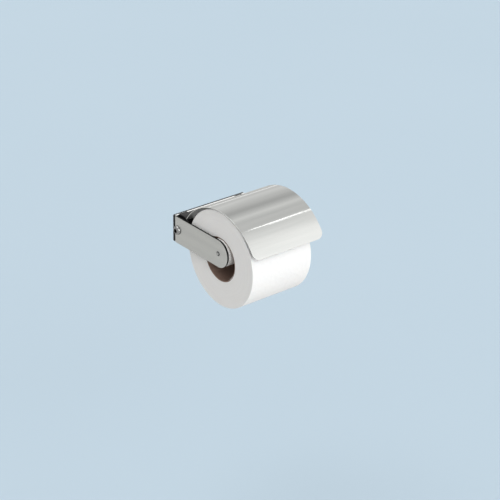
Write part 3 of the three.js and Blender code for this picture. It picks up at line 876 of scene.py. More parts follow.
def bent_route(start, heading, moves, inward_turn, to_room):
    """Moves are ("straight", length) and ("bend", radius, angle), anticlockwise when positive."""
    def at(length):
        place = Vector(start)
        direction = heading
        for move in moves:
            last = move is moves[-1]
            span = move[1] if move[0] == "straight" else move[1] * abs(move[2])
            used = length if last else min(length, span)
            ahead = Vector((math.cos(direction), math.sin(direction)))
            if move[0] == "straight":
                place += ahead * used
            else:
                side = math.copysign(1, move[2])
                to_centre = Vector((-ahead.y, ahead.x)) * side
                centre = place + to_centre * move[1]
                swing = side * used / move[1]
                place = centre + Matrix.Rotation(swing, 2) @ (-to_centre * move[1])
                direction += swing
            length -= used
            if length <= 1e-9:
                break
        ahead = Vector((math.cos(direction), math.sin(direction)))
        inward = Vector((-ahead.y, ahead.x)) * inward_turn
        return to_room(place), to_room(ahead), to_room(inward)
    return at


def form_blank(form, name, route, across, along_grain=True):
    across = Vector(across)
    facing = form.verts.layers.float_vector["facing"]
    grain = form.verts.layers.float_vector.new("grain")
    normals = []
    for vert in form.verts:
        length, side, depth = vert.co
        place, ahead, inward = route(length)
        flat = vert[facing].copy()
        vert[grain] = (length, side, depth) if along_grain else (side, length, depth)
        vert.co = place + inward * depth + across * side
        normals.append((ahead * flat.x + across * flat.y + inward * flat.z).normalized())
    if ahead.cross(across).dot(inward) < 0:
        bmesh.ops.reverse_faces(form, faces=form.faces)
    mesh = bpy.data.meshes.new(name)
    form.to_mesh(mesh)
    form.free()
    set_smooth(mesh, normals)
    return mesh


print("sheet tools ready")

# %% [markdown]
# ## The strip
# One strip of 2 mm sheet is the back plate and the arm: it is folded once, and the arm ends in a
# full round about the roller's axle. Its holes are the axle's, the locking screw's, one at each
# hinge block, and a window for the wall plate's lug. The route's last straight is simply longer
# than any arm, because the blank's own outline says where the strip ends.

# %% Strip
low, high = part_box("bracket")
STRIP = 2 * MM
FOLD = 2.4 * MM
strip_half = (high[2] - low[2]) / 2
arm_face = low[0]
plate_right = high[0]
plate_back = high[1]
axis_y = middle("roller_tube").y
plate_run = plate_right - arm_face - FOLD
fold_run = FOLD * math.pi / 2
arm_start = plate_run + fold_run
tip_centre = arm_start - axis_y + (plate_back - FOLD)
HOLE_STEPS = 20
TIP_STEPS = 48
FOLD_STEPS = 10
WINDOW_HALF = 6.8 * MM
LOCK_HOLE = 3.1 * MM
RIVET_HOLE = 2.55 * MM
BLOCK_SCREW_HOLE = 1.5 * MM
LONG_ARM = 1.0


def round_hole(x, y, radius, steps=HOLE_STEPS):
    points = []
    for i in range(steps):
        angle = -math.tau * i / steps
        spoke = Vector((math.cos(angle), math.sin(angle)))
        points.append((Vector((x, y)) + spoke * radius, -spoke))
    return points


def round_end(x, y, radius, start, steps):
    points = []
    for i in range(steps + 1):
        angle = start + math.pi * i / steps
        spoke = Vector((math.cos(angle), math.sin(angle)))
        points.append((Vector((x, y)) + spoke * radius, spoke))
    return points


def straight_fill(points, longest):
    """Adds points along long straights, so that long faces are not too thin."""
    filled = []
    for (place, out), (following, _) in zip(points, points[1:] + points[:1]):
        filled.append((place, out))
        span = (following - place).length
        count = int(span / longest)
        side = right_of((following - place).normalized()) if count else out
        for i in range(count):
            filled.append((place.lerp(following, (i + 1) / (count + 1)), side))
    return filled


def strip_mesh():
    lock_y = middle("locking_screw").y
    corner = 1 * MM
    square = rounded_outline([
        (0, strip_half, corner),
        (0, -strip_half, corner),
        (tip_centre, -strip_half, corner),
        (tip_centre, strip_half, corner),
    ])
    outline = [point for point in square if point[0].x < 2 * corner]
    outline += round_end(tip_centre, 0, strip_half, -math.pi / 2, TIP_STEPS)
    block_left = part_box("hinge_block_left")[0][0]
    window_start = plate_run + 0.5 * MM
    window_end = plate_right - (block_left - 0.3 * MM)
    window = rounded_outline([
        (window_end, -WINDOW_HALF, 0.5 * MM),
        (window_end, WINDOW_HALF, 0.5 * MM),
        (window_start, WINDOW_HALF, 0.5 * MM),
        (window_start, -WINDOW_HALF, 0.5 * MM),
    ])
    holes = [
        window,
        round_hole(arm_start + plate_back - FOLD - lock_y, 0, LOCK_HOLE),
        round_hole(tip_centre, 0, RIVET_HOLE),
    ]
    for node in ("block_screw_left", "block_screw_right"):
        screw = middle(node)
        holes.append(round_hole(plate_right - screw.x, screw.z, BLOCK_SCREW_HOLE))
    form = cut_blank([straight_fill(outline, 6 * MM), *holes], STRIP, 0.22 * MM, 0.6 * MM)
    score(form, [plate_run + fold_run * i / FOLD_STEPS for i in range(FOLD_STEPS + 1)])
    moves = [
        ("straight", plate_run),
        ("bend", FOLD, math.pi / 2),
        ("straight", LONG_ARM),
    ]
    start = (plate_right, plate_back)
    route = bent_route(start, math.pi, moves, 1, lambda flat: Vector((flat.x, flat.y, 0)))
    return form_blank(form, "strip", route, (0, 0, 1))


add_piece("strip", strip_mesh(), polished_strip, "wall_frame", ["bracket"])

# %% [markdown]
# ## The wall plate
# Behind the strip a dark plate is screwed to the wall. A lug is cut free on three sides in its left
# part and turned forwards beside the arm, where the locking screw holds it. The plate is a blank
# that stays flat, and the lug is a second one that stands in the first one's opening.

# %% Wall plate and lug
plate_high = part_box("wall_plate")[1]
PLATE = 2 * MM
PLATE_CORNER = 1.2 * MM
PLATE_EDGE = 0.25 * MM
LUG_HALF = 6.5 * MM
LUG_REACH = 12.5 * MM
LUG_CORNER = 2 * MM
WALL_SCREWS = 22 * MM
WALL_SCREW_HOLE = 2.4 * MM
lug_x = arm_face + STRIP + 0.3 * MM


def wall_plate_mesh():
    right = plate_high[0]
    tall = plate_high[2]
    outline = rounded_outline([
        (-right, -tall, PLATE_CORNER), (right, -tall, PLATE_CORNER),
        (right, tall, PLATE_CORNER), (-right, tall, PLATE_CORNER),
    ])
    opening_start = lug_x + PLATE
    opening_end = opening_start + LUG_REACH
    opening = rounded_outline([
        (opening_start, -LUG_HALF, 0.6 * MM), (opening_start, LUG_HALF, 0.6 * MM),
        (opening_end, LUG_HALF, 0.6 * MM), (opening_end, -LUG_HALF, 0.6 * MM),
    ])
    holes = [opening]
    for side in (-1, 1):
        holes.append(round_hole(side * WALL_SCREWS, 0, WALL_SCREW_HOLE, 28))
    form = cut_blank([straight_fill(outline, 8 * MM), *holes], PLATE, PLATE_EDGE)
    route = straight_route((0, 0, 0), (1, 0, 0), (0, -1, 0))
    return form_blank(form, "wall_plate_sheet", route, (0, 0, 1))


def lug_mesh():
    root = -0.4 * PLATE
    end = -PLATE - LUG_REACH
    outline = rounded_outline([
        (end, -LUG_HALF, LUG_CORNER), (root, -LUG_HALF, PLATE_CORNER),
        (root, LUG_HALF, PLATE_CORNER), (end, LUG_HALF, LUG_CORNER),
    ])
    screw = round_hole(middle("locking_screw").y, 0, LOCK_HOLE)
    form = cut_blank([outline, screw], PLATE, PLATE_EDGE)
    route = straight_route((lug_x, 0, 0), (0, 1, 0), (1, 0, 0))
    return form_blank(form, "lug", route, (0, 0, 1))


add_piece("wall_plate_sheet", wall_plate_mesh(), dark_paint, "wall_frame", ["wall_plate"])
add_piece("wall_plate_lug", lug_mesh(), dark_paint, "wall_frame", [])

# %% [markdown]
# ## The cover
# The cover is 1 mm sheet on one long curve. Its outline is cut flat: round front corners, and a
# notch at each end of the back edge so that only the middle part is left to curl about the pin.
# Its curve passes through the curl and just clears the top of the roll, so the centre of the curve
# is where two circles cross, one about the pin and one about the roll.

# %% Cover
SHEET = 1 * MM
COVER_RADIUS = 70.5 * MM
PIN_BORE = 2.6 * MM
ROLL_CLEARANCE = 0.4 * MM
FRONT_ANGLE = math.radians(61)
CURL_TURN = math.radians(285)
CURL_STEPS = 28
ARC_STEP = math.radians(2)
KNUCKLE_GAP = 0.1 * MM
block_low, block_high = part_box("hinge_block_left")
BLOCK_RADIUS = (block_high[2] - block_low[2]) / 2
NOTCH = BLOCK_RADIUS + 0.6 * MM
pin_centre = Vector(joints["lid_hinge"]["pos_m"][1:])
roll_centre = Vector(joints["roll_spin"]["pos_m"][1:])
roll_low, roll_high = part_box("paper_roll")
roll_radius = (roll_high[2] - roll_low[2]) / 2


def cover_centre():
    from_pin = COVER_RADIUS + PIN_BORE
    from_roll = COVER_RADIUS - SHEET - ROLL_CLEARANCE - roll_radius
    to_roll = roll_centre - pin_centre
    span = to_roll.length
    turn = math.acos((span**2 + from_pin**2 - from_roll**2) / (2 * span * from_pin))
    direction = math.atan2(to_roll.y, to_roll.x) + turn
    return pin_centre + from_pin * Vector((math.cos(direction), math.sin(direction)))


def cover_mesh():
    low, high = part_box("lid")
    centre = cover_centre()
    to_pin = pin_centre - centre
    back_angle = math.atan2(to_pin.x, to_pin.y)
    sweep = COVER_RADIUS * (FRONT_ANGLE + back_angle)
    notch = sweep - math.sqrt(NOTCH**2 - PIN_BORE**2)
    end = sweep + PIN_BORE * CURL_TURN
    knuckle_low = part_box("hinge_washer_left")[1][0] + KNUCKLE_GAP
    knuckle_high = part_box("hinge_washer_right")[0][0] - KNUCKLE_GAP
    corners = [
        (0, low[0], 8.5), (notch, low[0], 1.3), (notch, knuckle_low, 0.8), (end, knuckle_low, 1.0),
        (end, knuckle_high, 1.0), (notch, knuckle_high, 0.8), (notch, high[0], 1.3), (0, high[0], 8.5),
    ]
    outline = rounded_outline([(along, across, radius * MM) for along, across, radius in corners], 8)
    form = cut_blank([straight_fill(outline, 5 * MM)], SHEET, 0.16 * MM, 0.7 * MM)
    arcs = int(sweep / (COVER_RADIUS * ARC_STEP))
    arc_cuts = [sweep * i / arcs for i in range(1, arcs + 1)]
    curl_cuts = [sweep + PIN_BORE * CURL_TURN * i / CURL_STEPS for i in range(1, CURL_STEPS)]
    score(form, arc_cuts + curl_cuts)
    start = centre + COVER_RADIUS * Vector((-math.sin(FRONT_ANGLE), math.cos(FRONT_ANGLE)))
    moves = [
        ("bend", COVER_RADIUS, -(FRONT_ANGLE + back_angle)),
        ("bend", PIN_BORE, CURL_TURN),
    ]
    route = bent_route(start, FRONT_ANGLE, moves, -1, lambda flat: Vector((0, flat.x, flat.y)))
    return form_blank(form, "cover", route, (1, 0, 0), along_grain=False)


add_piece("cover", cover_mesh(), polished_cover, "cover", ["lid"])

# %% [markdown]
# ## The hinge blocks
# Two black mouldings hold the ends of the pin: flat at the back and round about the pin in front.
# A block is a very thick blank with well rounded edges, stood on end.

# %% Hinge blocks
def block_mesh(node):
    low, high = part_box(node)
    y, z = pin_centre
    outline = rounded_outline([
        (high[1], z - BLOCK_RADIUS, 0.9 * MM), (high[1], z + BLOCK_RADIUS, 0.9 * MM),
        (y, z + BLOCK_RADIUS + 0.01 * MM, 0.01 * MM), (y, z - BLOCK_RADIUS, 0.01 * MM),
    ])
    outline = [point for point in outline if point[0].x > y + 2 * MM]
    outline += round_end(y, z, BLOCK_RADIUS, math.pi / 2, 40)
    form = cut_blank([outline], high[0] - low[0], 0.6 * MM, 0.2 * MM)
    route = straight_route((low[0], 0, 0), (0, 1, 0), (1, 0, 0))
    return form_blank(form, node, route, (0, 0, 1))


for side in ("left", "right"):
    node = "hinge_block_" + side
    mesh = block_mesh(node)
    add_piece(node + "_moulding", mesh, black_plastic, "wall_frame", [node])

# %% [markdown]
# ## The roller
# A tube turns on the axle. A bush inside its left end and an end cap at its right carry it. The
# cap's rim is wider than the core's bore, so it keeps the roll on. All are turned or moulded
# round, and each profile below is written from the axis side, anticlockwise.

# %% Roller tube and end cap
AXIS = (0, axis_y, 0)
tube_low, tube_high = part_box("roller_tube")
tube_radius = (tube_high[2] - tube_low[2]) / 2
cap_low, cap_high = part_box("end_cap")
rim_radius = (cap_high[2] - cap_low[2]) / 2
TUBE_WALL = 1.2 * MM
TUBE_EDGE = 0.35 * MM
ROLLER_SIDES = 96


def in_mm(corners):
    return [(x * MM, radius * MM, rounding * MM) for x, radius, rounding in corners]


def tube_mesh():
    bore = tube_radius - TUBE_WALL
    left = tube_low[0]
    right = tube_high[0]
    return turned("roller_sleeve", [
        (left, bore, TUBE_EDGE), (right, bore, TUBE_EDGE),
        (right, tube_radius, TUBE_EDGE), (left, tube_radius, TUBE_EDGE),
    ], ROLLER_SIDES)


def cap_mesh():
    """Bore and washer seat, face with its groove, rim, then the skirt and the hub inside."""
    face = cap_high[0] / MM
    rim = rim_radius / MM
    web = face - 3.9
    groove = face - 0.5
    rim_back = face - 3
    skirt_end = web - 6
    web_back = web - 2
    hub_end = web - 8
    bore, seat, skirt, skirt_bore, hub = 4.1, 8.6, 14.7, 12.7, 6.6
    return turned("end_cap_moulding", in_mm([
        (hub_end, bore, 0.2), (web, bore, 0.2), (web, seat, 0.3), (face, seat, 0.4),
        (face, 15.6, 0.3), (groove, 15.9, 0.15), (groove, 16.9, 0.15), (face, 17.2, 0.3),
        (face, rim, 0.9), (rim_back, rim, 0.9), (rim_back, skirt, 0.2),
        (skirt_end, skirt, 0.3), (skirt_end, skirt_bore, 0.3), (web_back, skirt_bore, 0.3),
        (web_back, hub, 0.3), (hub_end, hub, 0.3),
    ]), ROLLER_SIDES)


add_piece("roller_sleeve", tube_mesh(), rubbed_tube, "roller", ["roller_tube"], AXIS)
add_piece("end_cap_moulding", cap_mesh(), black_plastic, "roller", ["end_cap"], AXIS)

# %% [markdown]
# ## The axle
# The axle's left end is a rivet. It goes through the arm, and its end is hammered to a low dome
# with a small dimple, the only part of it that shows from outside. Its right end is tapped for
# the end screw. The profile goes from the bottom of the tapped hole out and over to the dimple.

# %% Axle and end washer
AXLE_SIDES = 64
axle_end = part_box("axle")[1][0] / MM
tap_end = axle_end - 12
shoulder_right = -46.9
shoulder_left = -47.9
rod_profile = in_mm([
    (tap_end, 0, 0), (tap_end, 2.2, 0.1), (axle_end, 2.2, 0.2), (axle_end, 4.0, 0.4),
    (shoulder_right, 4.0, 0.1), (shoulder_right, 5.5, 0.2), (shoulder_left, 5.5, 0.2),
    (shoulder_left, 2.5, 0.1), (-49.98, 2.5, 0.02), (-50.35, 2.45, 0.2), (-50.55, 1.5, 0.3),
    (-50.45, 0.9, 0.25), (-49.9, 0.45, 0.2), (-49.85, 0, 0),
])
axle_mesh = turned("axle_rod", rod_profile, AXLE_SIDES, closed=False)
add_piece("axle_rod", axle_mesh, rivet_steel, "wall_frame", ["axle"], AXIS)

washer_low, washer_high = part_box("end_washer")
washer_left = washer_low[0] / MM
washer_right = washer_high[0] / MM
washer_profile = in_mm([
    (washer_left, 2.2, 0.1), (washer_right, 2.2, 0.1),
    (washer_right, 6.2, 0.2), (washer_left, 6.2, 0.15),
])
washer_mesh = turned("end_washer_disc", washer_profile, AXLE_SIDES)
add_piece(
    "end_washer_disc", washer_mesh, turned_steel, "wall_frame", ["end_washer"], AXIS,
)

# %% [markdown]
# ## Driven screws
# A screw head isn't round all through: its socket is a hexagon or a cross. The head is stacked from
# rings of points, where each ring has its own radius at each angle. The rings go over the dome, in
# over the socket's edge and down its walls. Corners there are sharp, so shading is split by angle.

# %% Stacked rings
def circle(radius):
    return lambda angle: radius


def hexagon(corner):
    flat = corner * math.cos(math.pi / 6)
    return lambda angle: flat / math.cos((angle % (math.pi / 3)) - math.pi / 6)


def cross(reach, half_width):
    def radius(angle):
        turned_back = (angle + math.pi / 4) % (math.pi / 2) - math.pi / 4
        return min(reach, half_width / max(abs(math.sin(turned_back)), 1e-6))
    return radius


def stacked(name, rings, sides, start, end):
    form = bmesh.new()
    first = form.verts.new((start, 0, 0))
    last = form.verts.new((end, 0, 0))
    made = []
    for x, shape in rings:
        ring = []
        for side in range(sides):
            angle = math.tau * side / sides
            radius = shape(angle)
            ring.append(form.verts.new((x, radius * math.cos(angle), radius * math.sin(angle))))
        made.append(ring)
    for side in range(sides):
        form.faces.new((first, made[0][side], made[0][side - 1]))
        form.faces.new((last, made[-1][side - 1], made[-1][side]))
    for low_ring, high_ring in zip(made, made[1:]):
        for side in range(sides):
            form.faces.new((low_ring[side - 1], low_ring[side], high_ring[side], high_ring[side - 1]))
    bmesh.ops.recalc_face_normals(form, faces=form.faces)
    mesh = bpy.data.meshes.new(name)
    form.to_mesh(mesh)
    form.free()
    mesh.polygons.foreach_set("use_smooth", [True] * len(mesh.polygons))
    mesh.set_sharp_from_angle(angle=math.radians(40))
    return mesh


def weigh_normals(piece):
    weights = piece.modifiers.new("flat faces stay flat", "WEIGHTED_NORMAL")
    weights.keep_sharp = True


# %% Locking screw and end screw
SCREW_SIDES = 96
LOCK_HEAD = 5.25 * MM
LOCK_HEAD_HEIGHT = 3.1 * MM
LOCK_DOME = 2.6 * MM
LOCK_DOME_ARC = math.radians(62)
LOCK_SHANK = 2.8 * MM
END_SHANK = 1.9 * MM
END_HEAD = 3.78 * MM
END_HEAD_HEIGHT = 1.9 * MM
END_DOME_ARC = math.radians(75)


def locking_screw_mesh():
    low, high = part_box("locking_screw")
    tip = high[0]
    top = low[0]
    under = top + LOCK_HEAD_HEIGHT
    rings = [(tip, circle(1.8 * MM)), (tip - 1 * MM, circle(LOCK_SHANK)), (under, circle(LOCK_SHANK))]
    rings += [(under, circle(5.05 * MM)), (under - 0.12 * MM, circle(5.22 * MM))]
    dome_base = under - 0.5 * MM
    dome_scale = LOCK_DOME / math.sin(LOCK_DOME_ARC)
    for step in range(9):
        angle = LOCK_DOME_ARC * step / 8
        rings.append((dome_base - dome_scale * math.sin(angle), circle(LOCK_HEAD * math.cos(angle))))
    rings += [(top, hexagon(2.42 * MM)), (top + 0.12 * MM, hexagon(2.3 * MM))]
    rings += [(top + 2 * MM, hexagon(2.2 * MM))]
    return stacked("locking_screw_head", rings, SCREW_SIDES, tip, top + 2.5 * MM)


def end_screw_mesh():
    low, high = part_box("end_screw")
    tip = low[0]
    top = high[0]
    under = top - END_HEAD_HEIGHT
    rings = [(tip, circle(1.3 * MM)), (tip + 0.6 * MM, circle(END_SHANK)), (under, circle(END_SHANK))]
    dome_base = under + 0.8 * MM
    rings += [(under, circle(3.6 * MM)), (under + 0.15 * MM, circle(END_HEAD))]
    rings += [(dome_base, circle(END_HEAD))]
    for step in range(1, 6):
        angle = END_DOME_ARC * step / 5
        radius = 2.5 * MM + 1.28 * MM * math.cos(angle)
        rings.append((dome_base + 1.08 * MM * math.sin(angle), circle(radius)))
    rings += [(top, cross(2.2 * MM, 0.5 * MM)), (top - 0.12 * MM, cross(2.1 * MM, 0.42 * MM))]
    rings += [(top - 1.3 * MM, cross(1.3 * MM, 0.3 * MM))]
    return stacked("end_screw_head", rings, SCREW_SIDES, tip, top - 1.5 * MM)


lock_origin = (0, middle("locking_screw").y, 0)
lock_head = add_piece(
    "locking_screw_head", locking_screw_mesh(), bright_steel, "wall_frame",
    ["locking_screw"], lock_origin,
)
end_head = add_piece(
    "end_screw_head", end_screw_mesh(), turned_steel, "wall_frame", ["end_screw"], AXIS,
)
weigh_normals(lock_head)
weigh_normals(end_head)

# %% [markdown]
# ## Small parts that keep their CAD shape
# The pin, the thin washers, the bush and the two countersunk screws hardly show between the other
# parts. Their solids are already right, so they only take the finishes made above.

# %% Finishes for the kept solids
KEPT = {
    "hinge_pin": turned_steel,
    "block_screw_left": turned_steel,
    "block_screw_right": turned_steel,
    "hinge_washer_left": grey_nylon,
    "hinge_washer_right": grey_nylon,
    "axle_washer": grey_nylon,
    "roller_bush": black_plastic,
}
for name, finish in KEPT.items():
    for holder in frame["nodes"][name].material_slots:
        holder.material = finish
    print(name, "is now", finish.name)

# %% [markdown]
# ## The cardboard core
# The paper is wound on a 1 mm board tube, which was sawn off with the paper on it. So its ends are
# nearly flat, but fuzzy: each point of the two cut rims is moved a little by a noise. The tube
# itself is another turned shape.

# %% Core
core_low, core_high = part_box("cardboard_core")
ROLL_ORIGIN = (core_low[0], roll_centre.x, roll_centre.y)
core_radius = (core_high[2] - core_low[2]) / 2
roll_width = core_high[0] - core_low[0]


BOARD = 1 * MM
BOARD_EDGE = 0.3 * MM
FUZZ = 0.14 * MM
FUZZ_REACH = 0.5 * MM


def core_mesh():
    inner = core_radius - BOARD
    mesh = turned("core_tube", [
        (0, inner, BOARD_EDGE), (roll_width, inner, BOARD_EDGE),
        (roll_width, core_radius, BOARD_EDGE), (0, core_radius, BOARD_EDGE),
    ], 160, 3)
    for vert in mesh.vertices:
        from_end = min(vert.co.x, roll_width - vert.co.x)
        if from_end < FUZZ_REACH:
            drift = noise.noise(vert.co * 900) + 0.6 * noise.noise(vert.co * 2600)
            inwards = 1 if vert.co.x < roll_width / 2 else -1
            vert.co.x += inwards * FUZZ * (0.8 + drift) * (1 - from_end / FUZZ_REACH)
    return mesh


add_piece("core_tube", core_mesh(), cardboard, "roll", ["cardboard_core"], ROLL_ORIGIN)

# %% [markdown]
# ## The roll of paper
# The paper is one long strip, so its outside isn't a true circle. It is a spiral with a small step
# where the last sheet ends, which is pressed down and turned to the back here. The ends aren't
# flat either: each wound layer lies a hair further in or out than the next. Both are built into
# the rings, and the finer rings are left to the bump of the finish.

# %% Roll
ROLL_SIDES = 220
END_RINGS = 46
LAYER = 0.22 * MM
SEAM_ANGLE = math.radians(-52)
SOFT_EDGE = 0.9 * MM
SEAM_GAP = 0.0022
END_DIP = 0.08 * MM
END_WAVE = 0.05 * MM


def spiral(turn):
    """How far the outer layer has wound in, from the seam round to the seam."""
    return LAYER * turn / math.tau


def end_depth(radius, angle, end):
    """How far in a wound edge lies, at one radius and angle of an end."""
    slow = noise.noise(Vector((radius * 260, math.cos(angle) * 0.7 + end * 9, math.sin(angle) * 0.7)))
    quick = noise.noise(Vector((radius * 1500, math.cos(angle) * 1.6 - end * 5, math.sin(angle) * 1.6)))
    return max(0.0, END_DIP + END_WAVE * slow + END_WAVE * quick)


def roll_profile():
    """Points (x, radius, end), from the left end's bore over the outside to the right end's bore."""
    bore = core_radius + 0.1 * MM
    outer = roll_radius - SOFT_EDGE
    radii = [bore + (outer - bore) * i / END_RINGS for i in range(END_RINGS + 1)]
    left = [(0.0, radius, 0) for radius in radii]
    bend = []
    for step in range(1, 6):
        angle = math.pi / 2 * step / 5
        bend.append((SOFT_EDGE * (1 - math.cos(angle)), outer + SOFT_EDGE * math.sin(angle), None))
    along = [(roll_width * i / 12, roll_radius, None) for i in range(1, 12)]
    mirrored = []
    for x, radius, end in reversed(left + bend):
        mirrored.append((roll_width - x, radius, 1 if end == 0 else None))
    return left + bend + along + mirrored


def roll_mesh():
    form = bmesh.new()
    turns = [math.tau * i / ROLL_SIDES for i in range(ROLL_SIDES)] + [math.tau - SEAM_GAP]
    rings = []
    for x, radius, end in roll_profile():
        ring = []
        for turn in turns:
            angle = SEAM_ANGLE + turn
            share = max(0.0, (radius - core_radius) / (roll_radius - core_radius))
            reach = radius - spiral(turn) * share**6
            depth = 0.0
            if end is not None:
                depth = end_depth(radius, angle, end) * (1 if end == 0 else -1)
            ring.append(form.verts.new((x + depth, reach * math.cos(angle), reach * math.sin(angle))))
        rings.append(ring)
    rings.append(rings[0])
    for first, second in zip(rings, rings[1:]):
        for side in range(len(turns)):
            form.faces.new((first[side - 1], first[side], second[side], second[side - 1]))
    bmesh.ops.recalc_face_normals(form, faces=form.faces)
    mesh = bpy.data.meshes.new("wound_paper")
    form.to_mesh(mesh)
    form.free()
    mesh.polygons.foreach_set("use_smooth", [True] * len(mesh.polygons))
    mesh.set_sharp_from_angle(angle=math.radians(50))
    return mesh


add_piece("wound_paper", roll_mesh(), tissue, "roll", ["paper_roll"], ROLL_ORIGIN)

# %% [markdown]
# **Torn fibres.** Where the first sheet was glued to the core, the saw left a small pale fray on
# the rim. It is made of short bent slivers, each a thin triangle bar, scattered from a fixed seed
# so that they fall the same way each time.

# %% Fray on the core's rim
FRAY_ANGLE = math.radians(222)
FRAY_SPREAD = math.radians(13)
FRAY_COUNT = 70


def sliver(form, base, direction, lift, length, thick):
    side = direction.cross(lift).normalized()
    stations = []
    for step in range(4):
        share = step / 3
        centre = base + direction * length * share + lift * length * 0.3 * share**2
        width = thick * (1 - 0.8 * share)
        stations.append([
            form.verts.new(centre + side * width),
            form.verts.new(centre - side * width),
            form.verts.new(centre + lift * width),
        ])
    for low_ring, high_ring in zip(stations, stations[1:]):
        for i in range(3):
            form.faces.new((low_ring[i - 1], low_ring[i], high_ring[i], high_ring[i - 1]))
    form.faces.new(stations[0])
    form.faces.new(reversed(stations[-1]))


def fray_mesh():
    draw = random.Random(7)
    form = bmesh.new()
    for _ in range(FRAY_COUNT):
        angle = FRAY_ANGLE + draw.gauss(0, 0.5) * FRAY_SPREAD
        spoke = Vector((0, math.cos(angle), math.sin(angle)))
        along = Vector((0, -math.sin(angle), math.cos(angle)))
        radius = core_radius - draw.uniform(0.1, 1.1) * MM
        base = spoke * radius + Vector((draw.uniform(0.05, 0.5) * MM, 0, 0))
        heading = -spoke * draw.uniform(0.1, 1.0) + along * draw.uniform(-1, 1)
        heading += Vector((draw.uniform(0.0, 0.5), 0, 0))
        length = draw.uniform(0.7, 2.2) * MM
        sliver(form, base, heading.normalized(), spoke, length, draw.uniform(0.08, 0.2) * MM)
    bmesh.ops.recalc_face_normals(form, faces=form.faces)
    mesh = bpy.data.meshes.new("core_fray")
    form.to_mesh(mesh)
    form.free()
    return mesh


add_piece("core_fray", fray_mesh(), tissue, "roll", [], ROLL_ORIGIN)

# %% [markdown]
# ## The floor
# A plain pale floor lies well below the holder. It is a cool paper blue to look at, but a floor
# that blue would tint the paper and the steel above it. The Light Path node tells whether a ray
# comes straight from the camera, so the floor is blue there and grey in all that it reflects.

# %% Floor
FLOOR_HEIGHT = -0.34
FLOOR_REACH = 9.0
GREY_FLOOR = ((0.51, 0.51, 0.502, 1), (0.526, 0.526, 0.518, 1))
BLUE_FLOOR = ((0.48, 0.587, 0.672, 1), (0.494, 0.601, 0.686, 1))


def make_floor_finish():
    material, tree, shader = start_finish(
        "studio_floor", IOR=1.3, Specular_IOR_Level=0.0, Roughness=1.0,
    )
    seen = add_node(tree, "ShaderNodeLightPath").outputs["Is Camera Ray"]
    faint = cloud(tree, object_place(tree), 2.0, 2.0, 0.4)
    grey = blend_colours(tree, faint, *GREY_FLOOR)
    blue = blend_colours(tree, faint, *BLUE_FLOOR)
    tree.links.new(blend_colours(tree, seen, grey, blue), shader.inputs["Base Color"])
    return material


def make_floor(height, reach):
    mesh = bpy.data.meshes.new("floor")
    corners = [(-reach, -reach, 0), (reach, -reach, 0), (reach, reach, 0), (-reach, reach, 0)]
    mesh.from_pydata(corners, [], [(0, 1, 2, 3)])
    floor = bpy.data.objects.new("floor", mesh)
    floor.location = (0, 0, height)
    mesh.materials.append(make_floor_finish())
    scene.collection.objects.link(floor)
    return floor


floor = make_floor(FLOOR_HEIGHT, FLOOR_REACH)
print("floor at", floor.location.z)

# %% [markdown]
# ## Light from all round
# Polished sheet shows its surroundings more than itself, so the light is planned by what each
# surface mirrors. Walls and panels could be modelled and lit, but a world shader that depends on
# direction only is quicker, has no noise, and lights the floor evenly. It has two parts.
#
# - Everywhere but towards the open end, the world is an even grey that is a little brighter
#   overhead, with three soft panels: a strong one in front, one overhead that leans to the wall,
#   and a weak one on the arm's side.
# - Towards the open end, the world is a set of level bands. The cover is curved one way only, so
#   each height there shows as one long stripe on it: bright where it turns down to the front, then
#   grey, with a darker and a lighter stripe before the hinge. A colour ramp holds the bands. Its
#   heights are angles that start level in front, go over the top, and end level at the wall.

# %% Studio light
BANDS = [
    (0, 1.3), (22, 1.3), (45, 1.18), (66, 0.97), (78, 0.85), (86, 0.68), (101, 0.68), (111, 0.8),
    (118, 0.68), (128, 0.53), (138, 0.58), (148, 0.67), (160, 0.78), (172, 0.64), (180, 0.8),
]
PANELS = [
    ((0.0, -0.8, 0.3), 8, 38, 2.8),
    ((-0.1, 0.35, 0.9), 10, 32, 1.8),
    ((-0.75, -0.1, 0.65), 10, 45, 0.15),
]
STUDIO_WHITE = (1.0, 1.0, 0.995, 1)


def glow(tree, direction, towards, inner, outer, strength):
    """Light from round one direction, full within the inner angle and gone at the outer one."""
    aim = tuple(Vector(towards).normalized())
    values = {0: direction, 1: aim}
    facing = add_node(tree, "ShaderNodeVectorMath", values, operation="DOT_PRODUCT").outputs["Value"]
    low = math.cos(math.radians(outer))
    high = math.cos(math.radians(inner))
    return ramp(tree, facing, low, high, 0.0, strength)


def wall_bands(tree, direction):
    """Level bands of light and shade, and a mask that is one towards the open end."""
    parts = add_node(tree, "ShaderNodeSeparateXYZ", {0: direction}).outputs
    to_front = calculate(tree, "MULTIPLY", parts[1], -1.0)
    angle = calculate(tree, "ARCTAN2", parts[2], to_front)
    bands = add_node(tree, "ShaderNodeValToRGB", {0: calculate(tree, "DIVIDE", angle, math.pi)})
    stops = bands.color_ramp.elements
    for degrees, _ in BANDS[len(stops):]:
        stops.new(degrees / 180)
    for stop, (degrees, strength) in zip(stops, BANDS):
        stop.position = degrees / 180
        stop.color = (strength, strength, strength, 1)
    towards_end = ramp(tree, parts[0], 0.2, 0.4)
    return bands.outputs[0], towards_end


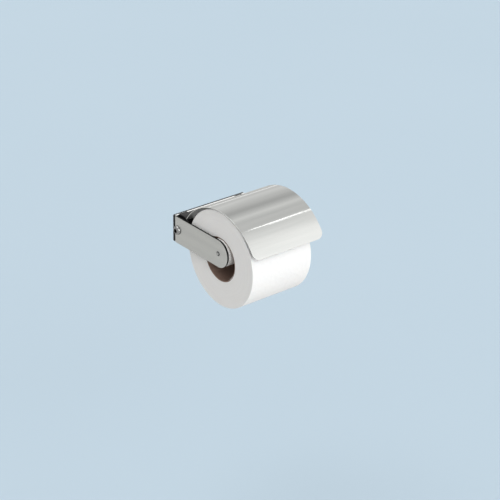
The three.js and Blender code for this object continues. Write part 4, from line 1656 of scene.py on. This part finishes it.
def light_world():
    world = bpy.data.worlds.new("studio")
    scene.world = world
    world.use_nodes = True
    tree = world.node_tree
    direction = add_node(tree, "ShaderNodeTexCoord").outputs["Generated"]
    height = add_node(tree, "ShaderNodeSeparateXYZ", {0: direction}).outputs[2]
    total = ramp(tree, height, -0.2, 1.0, 0.5, 0.62)
    for towards, inner, outer, strength in PANELS:
        panel = glow(tree, direction, towards, inner, outer, strength)
        total = calculate(tree, "ADD", total, panel)
    bands, towards_end = wall_bands(tree, direction)
    mixed = add_node(tree, "ShaderNodeMix", {0: towards_end, 2: total, 3: bands}).outputs[0]
    background = tree.nodes["Background"]
    tree.links.new(mixed, background.inputs["Strength"])
    background.inputs["Color"].default_value = STUDIO_WHITE
    return world


world = light_world()
scene.view_settings.view_transform = "Standard"
print("world lit by", len(PANELS), "panels and", len(BANDS), "band stops in", world.name)

# %% [markdown]
# **One line of light.** A thin bright line lies along the cover's shoulder and fades out towards
# the open end. A band of the world would cross the whole cover, because it is infinitely far away.
# So a long narrow lamp hangs near the holder: what it shows depends on where on the cover one
# looks. It is aimed at one point by its matrix, and it is weak, since it is seen only as a mirror
# image.

# %% Lamp for the bright line
LINE_TARGET = (0.106, -0.115, 0.035)
LINE_TOWARDS = (0.567, -0.114, 0.816)
LINE_DISTANCE = 0.9
LINE_SIZE = (0.22, 0.016)
LINE_POWER = 0.026


def narrow_lamp(name, target, towards, distance, size, power):
    lamp = bpy.data.lights.new(name, "AREA")
    lamp.shape = "RECTANGLE"
    lamp.size = size[0]
    lamp.size_y = size[1]
    lamp.energy = power
    holder = bpy.data.objects.new(name, lamp)
    scene.collection.objects.link(holder)
    back = Vector(towards).normalized()
    level = Vector((1, 0, 0))
    level = (level - back * level.dot(back)).normalized()
    holder.matrix_world = Matrix((level, back.cross(level), back)).transposed().to_4x4()
    holder.location = Vector(target) + back * distance
    return holder


narrow_lamp("line_lamp", LINE_TARGET, LINE_TOWARDS, LINE_DISTANCE, LINE_SIZE, LINE_POWER)
print("lamps:", [light.name for light in bpy.data.lights])
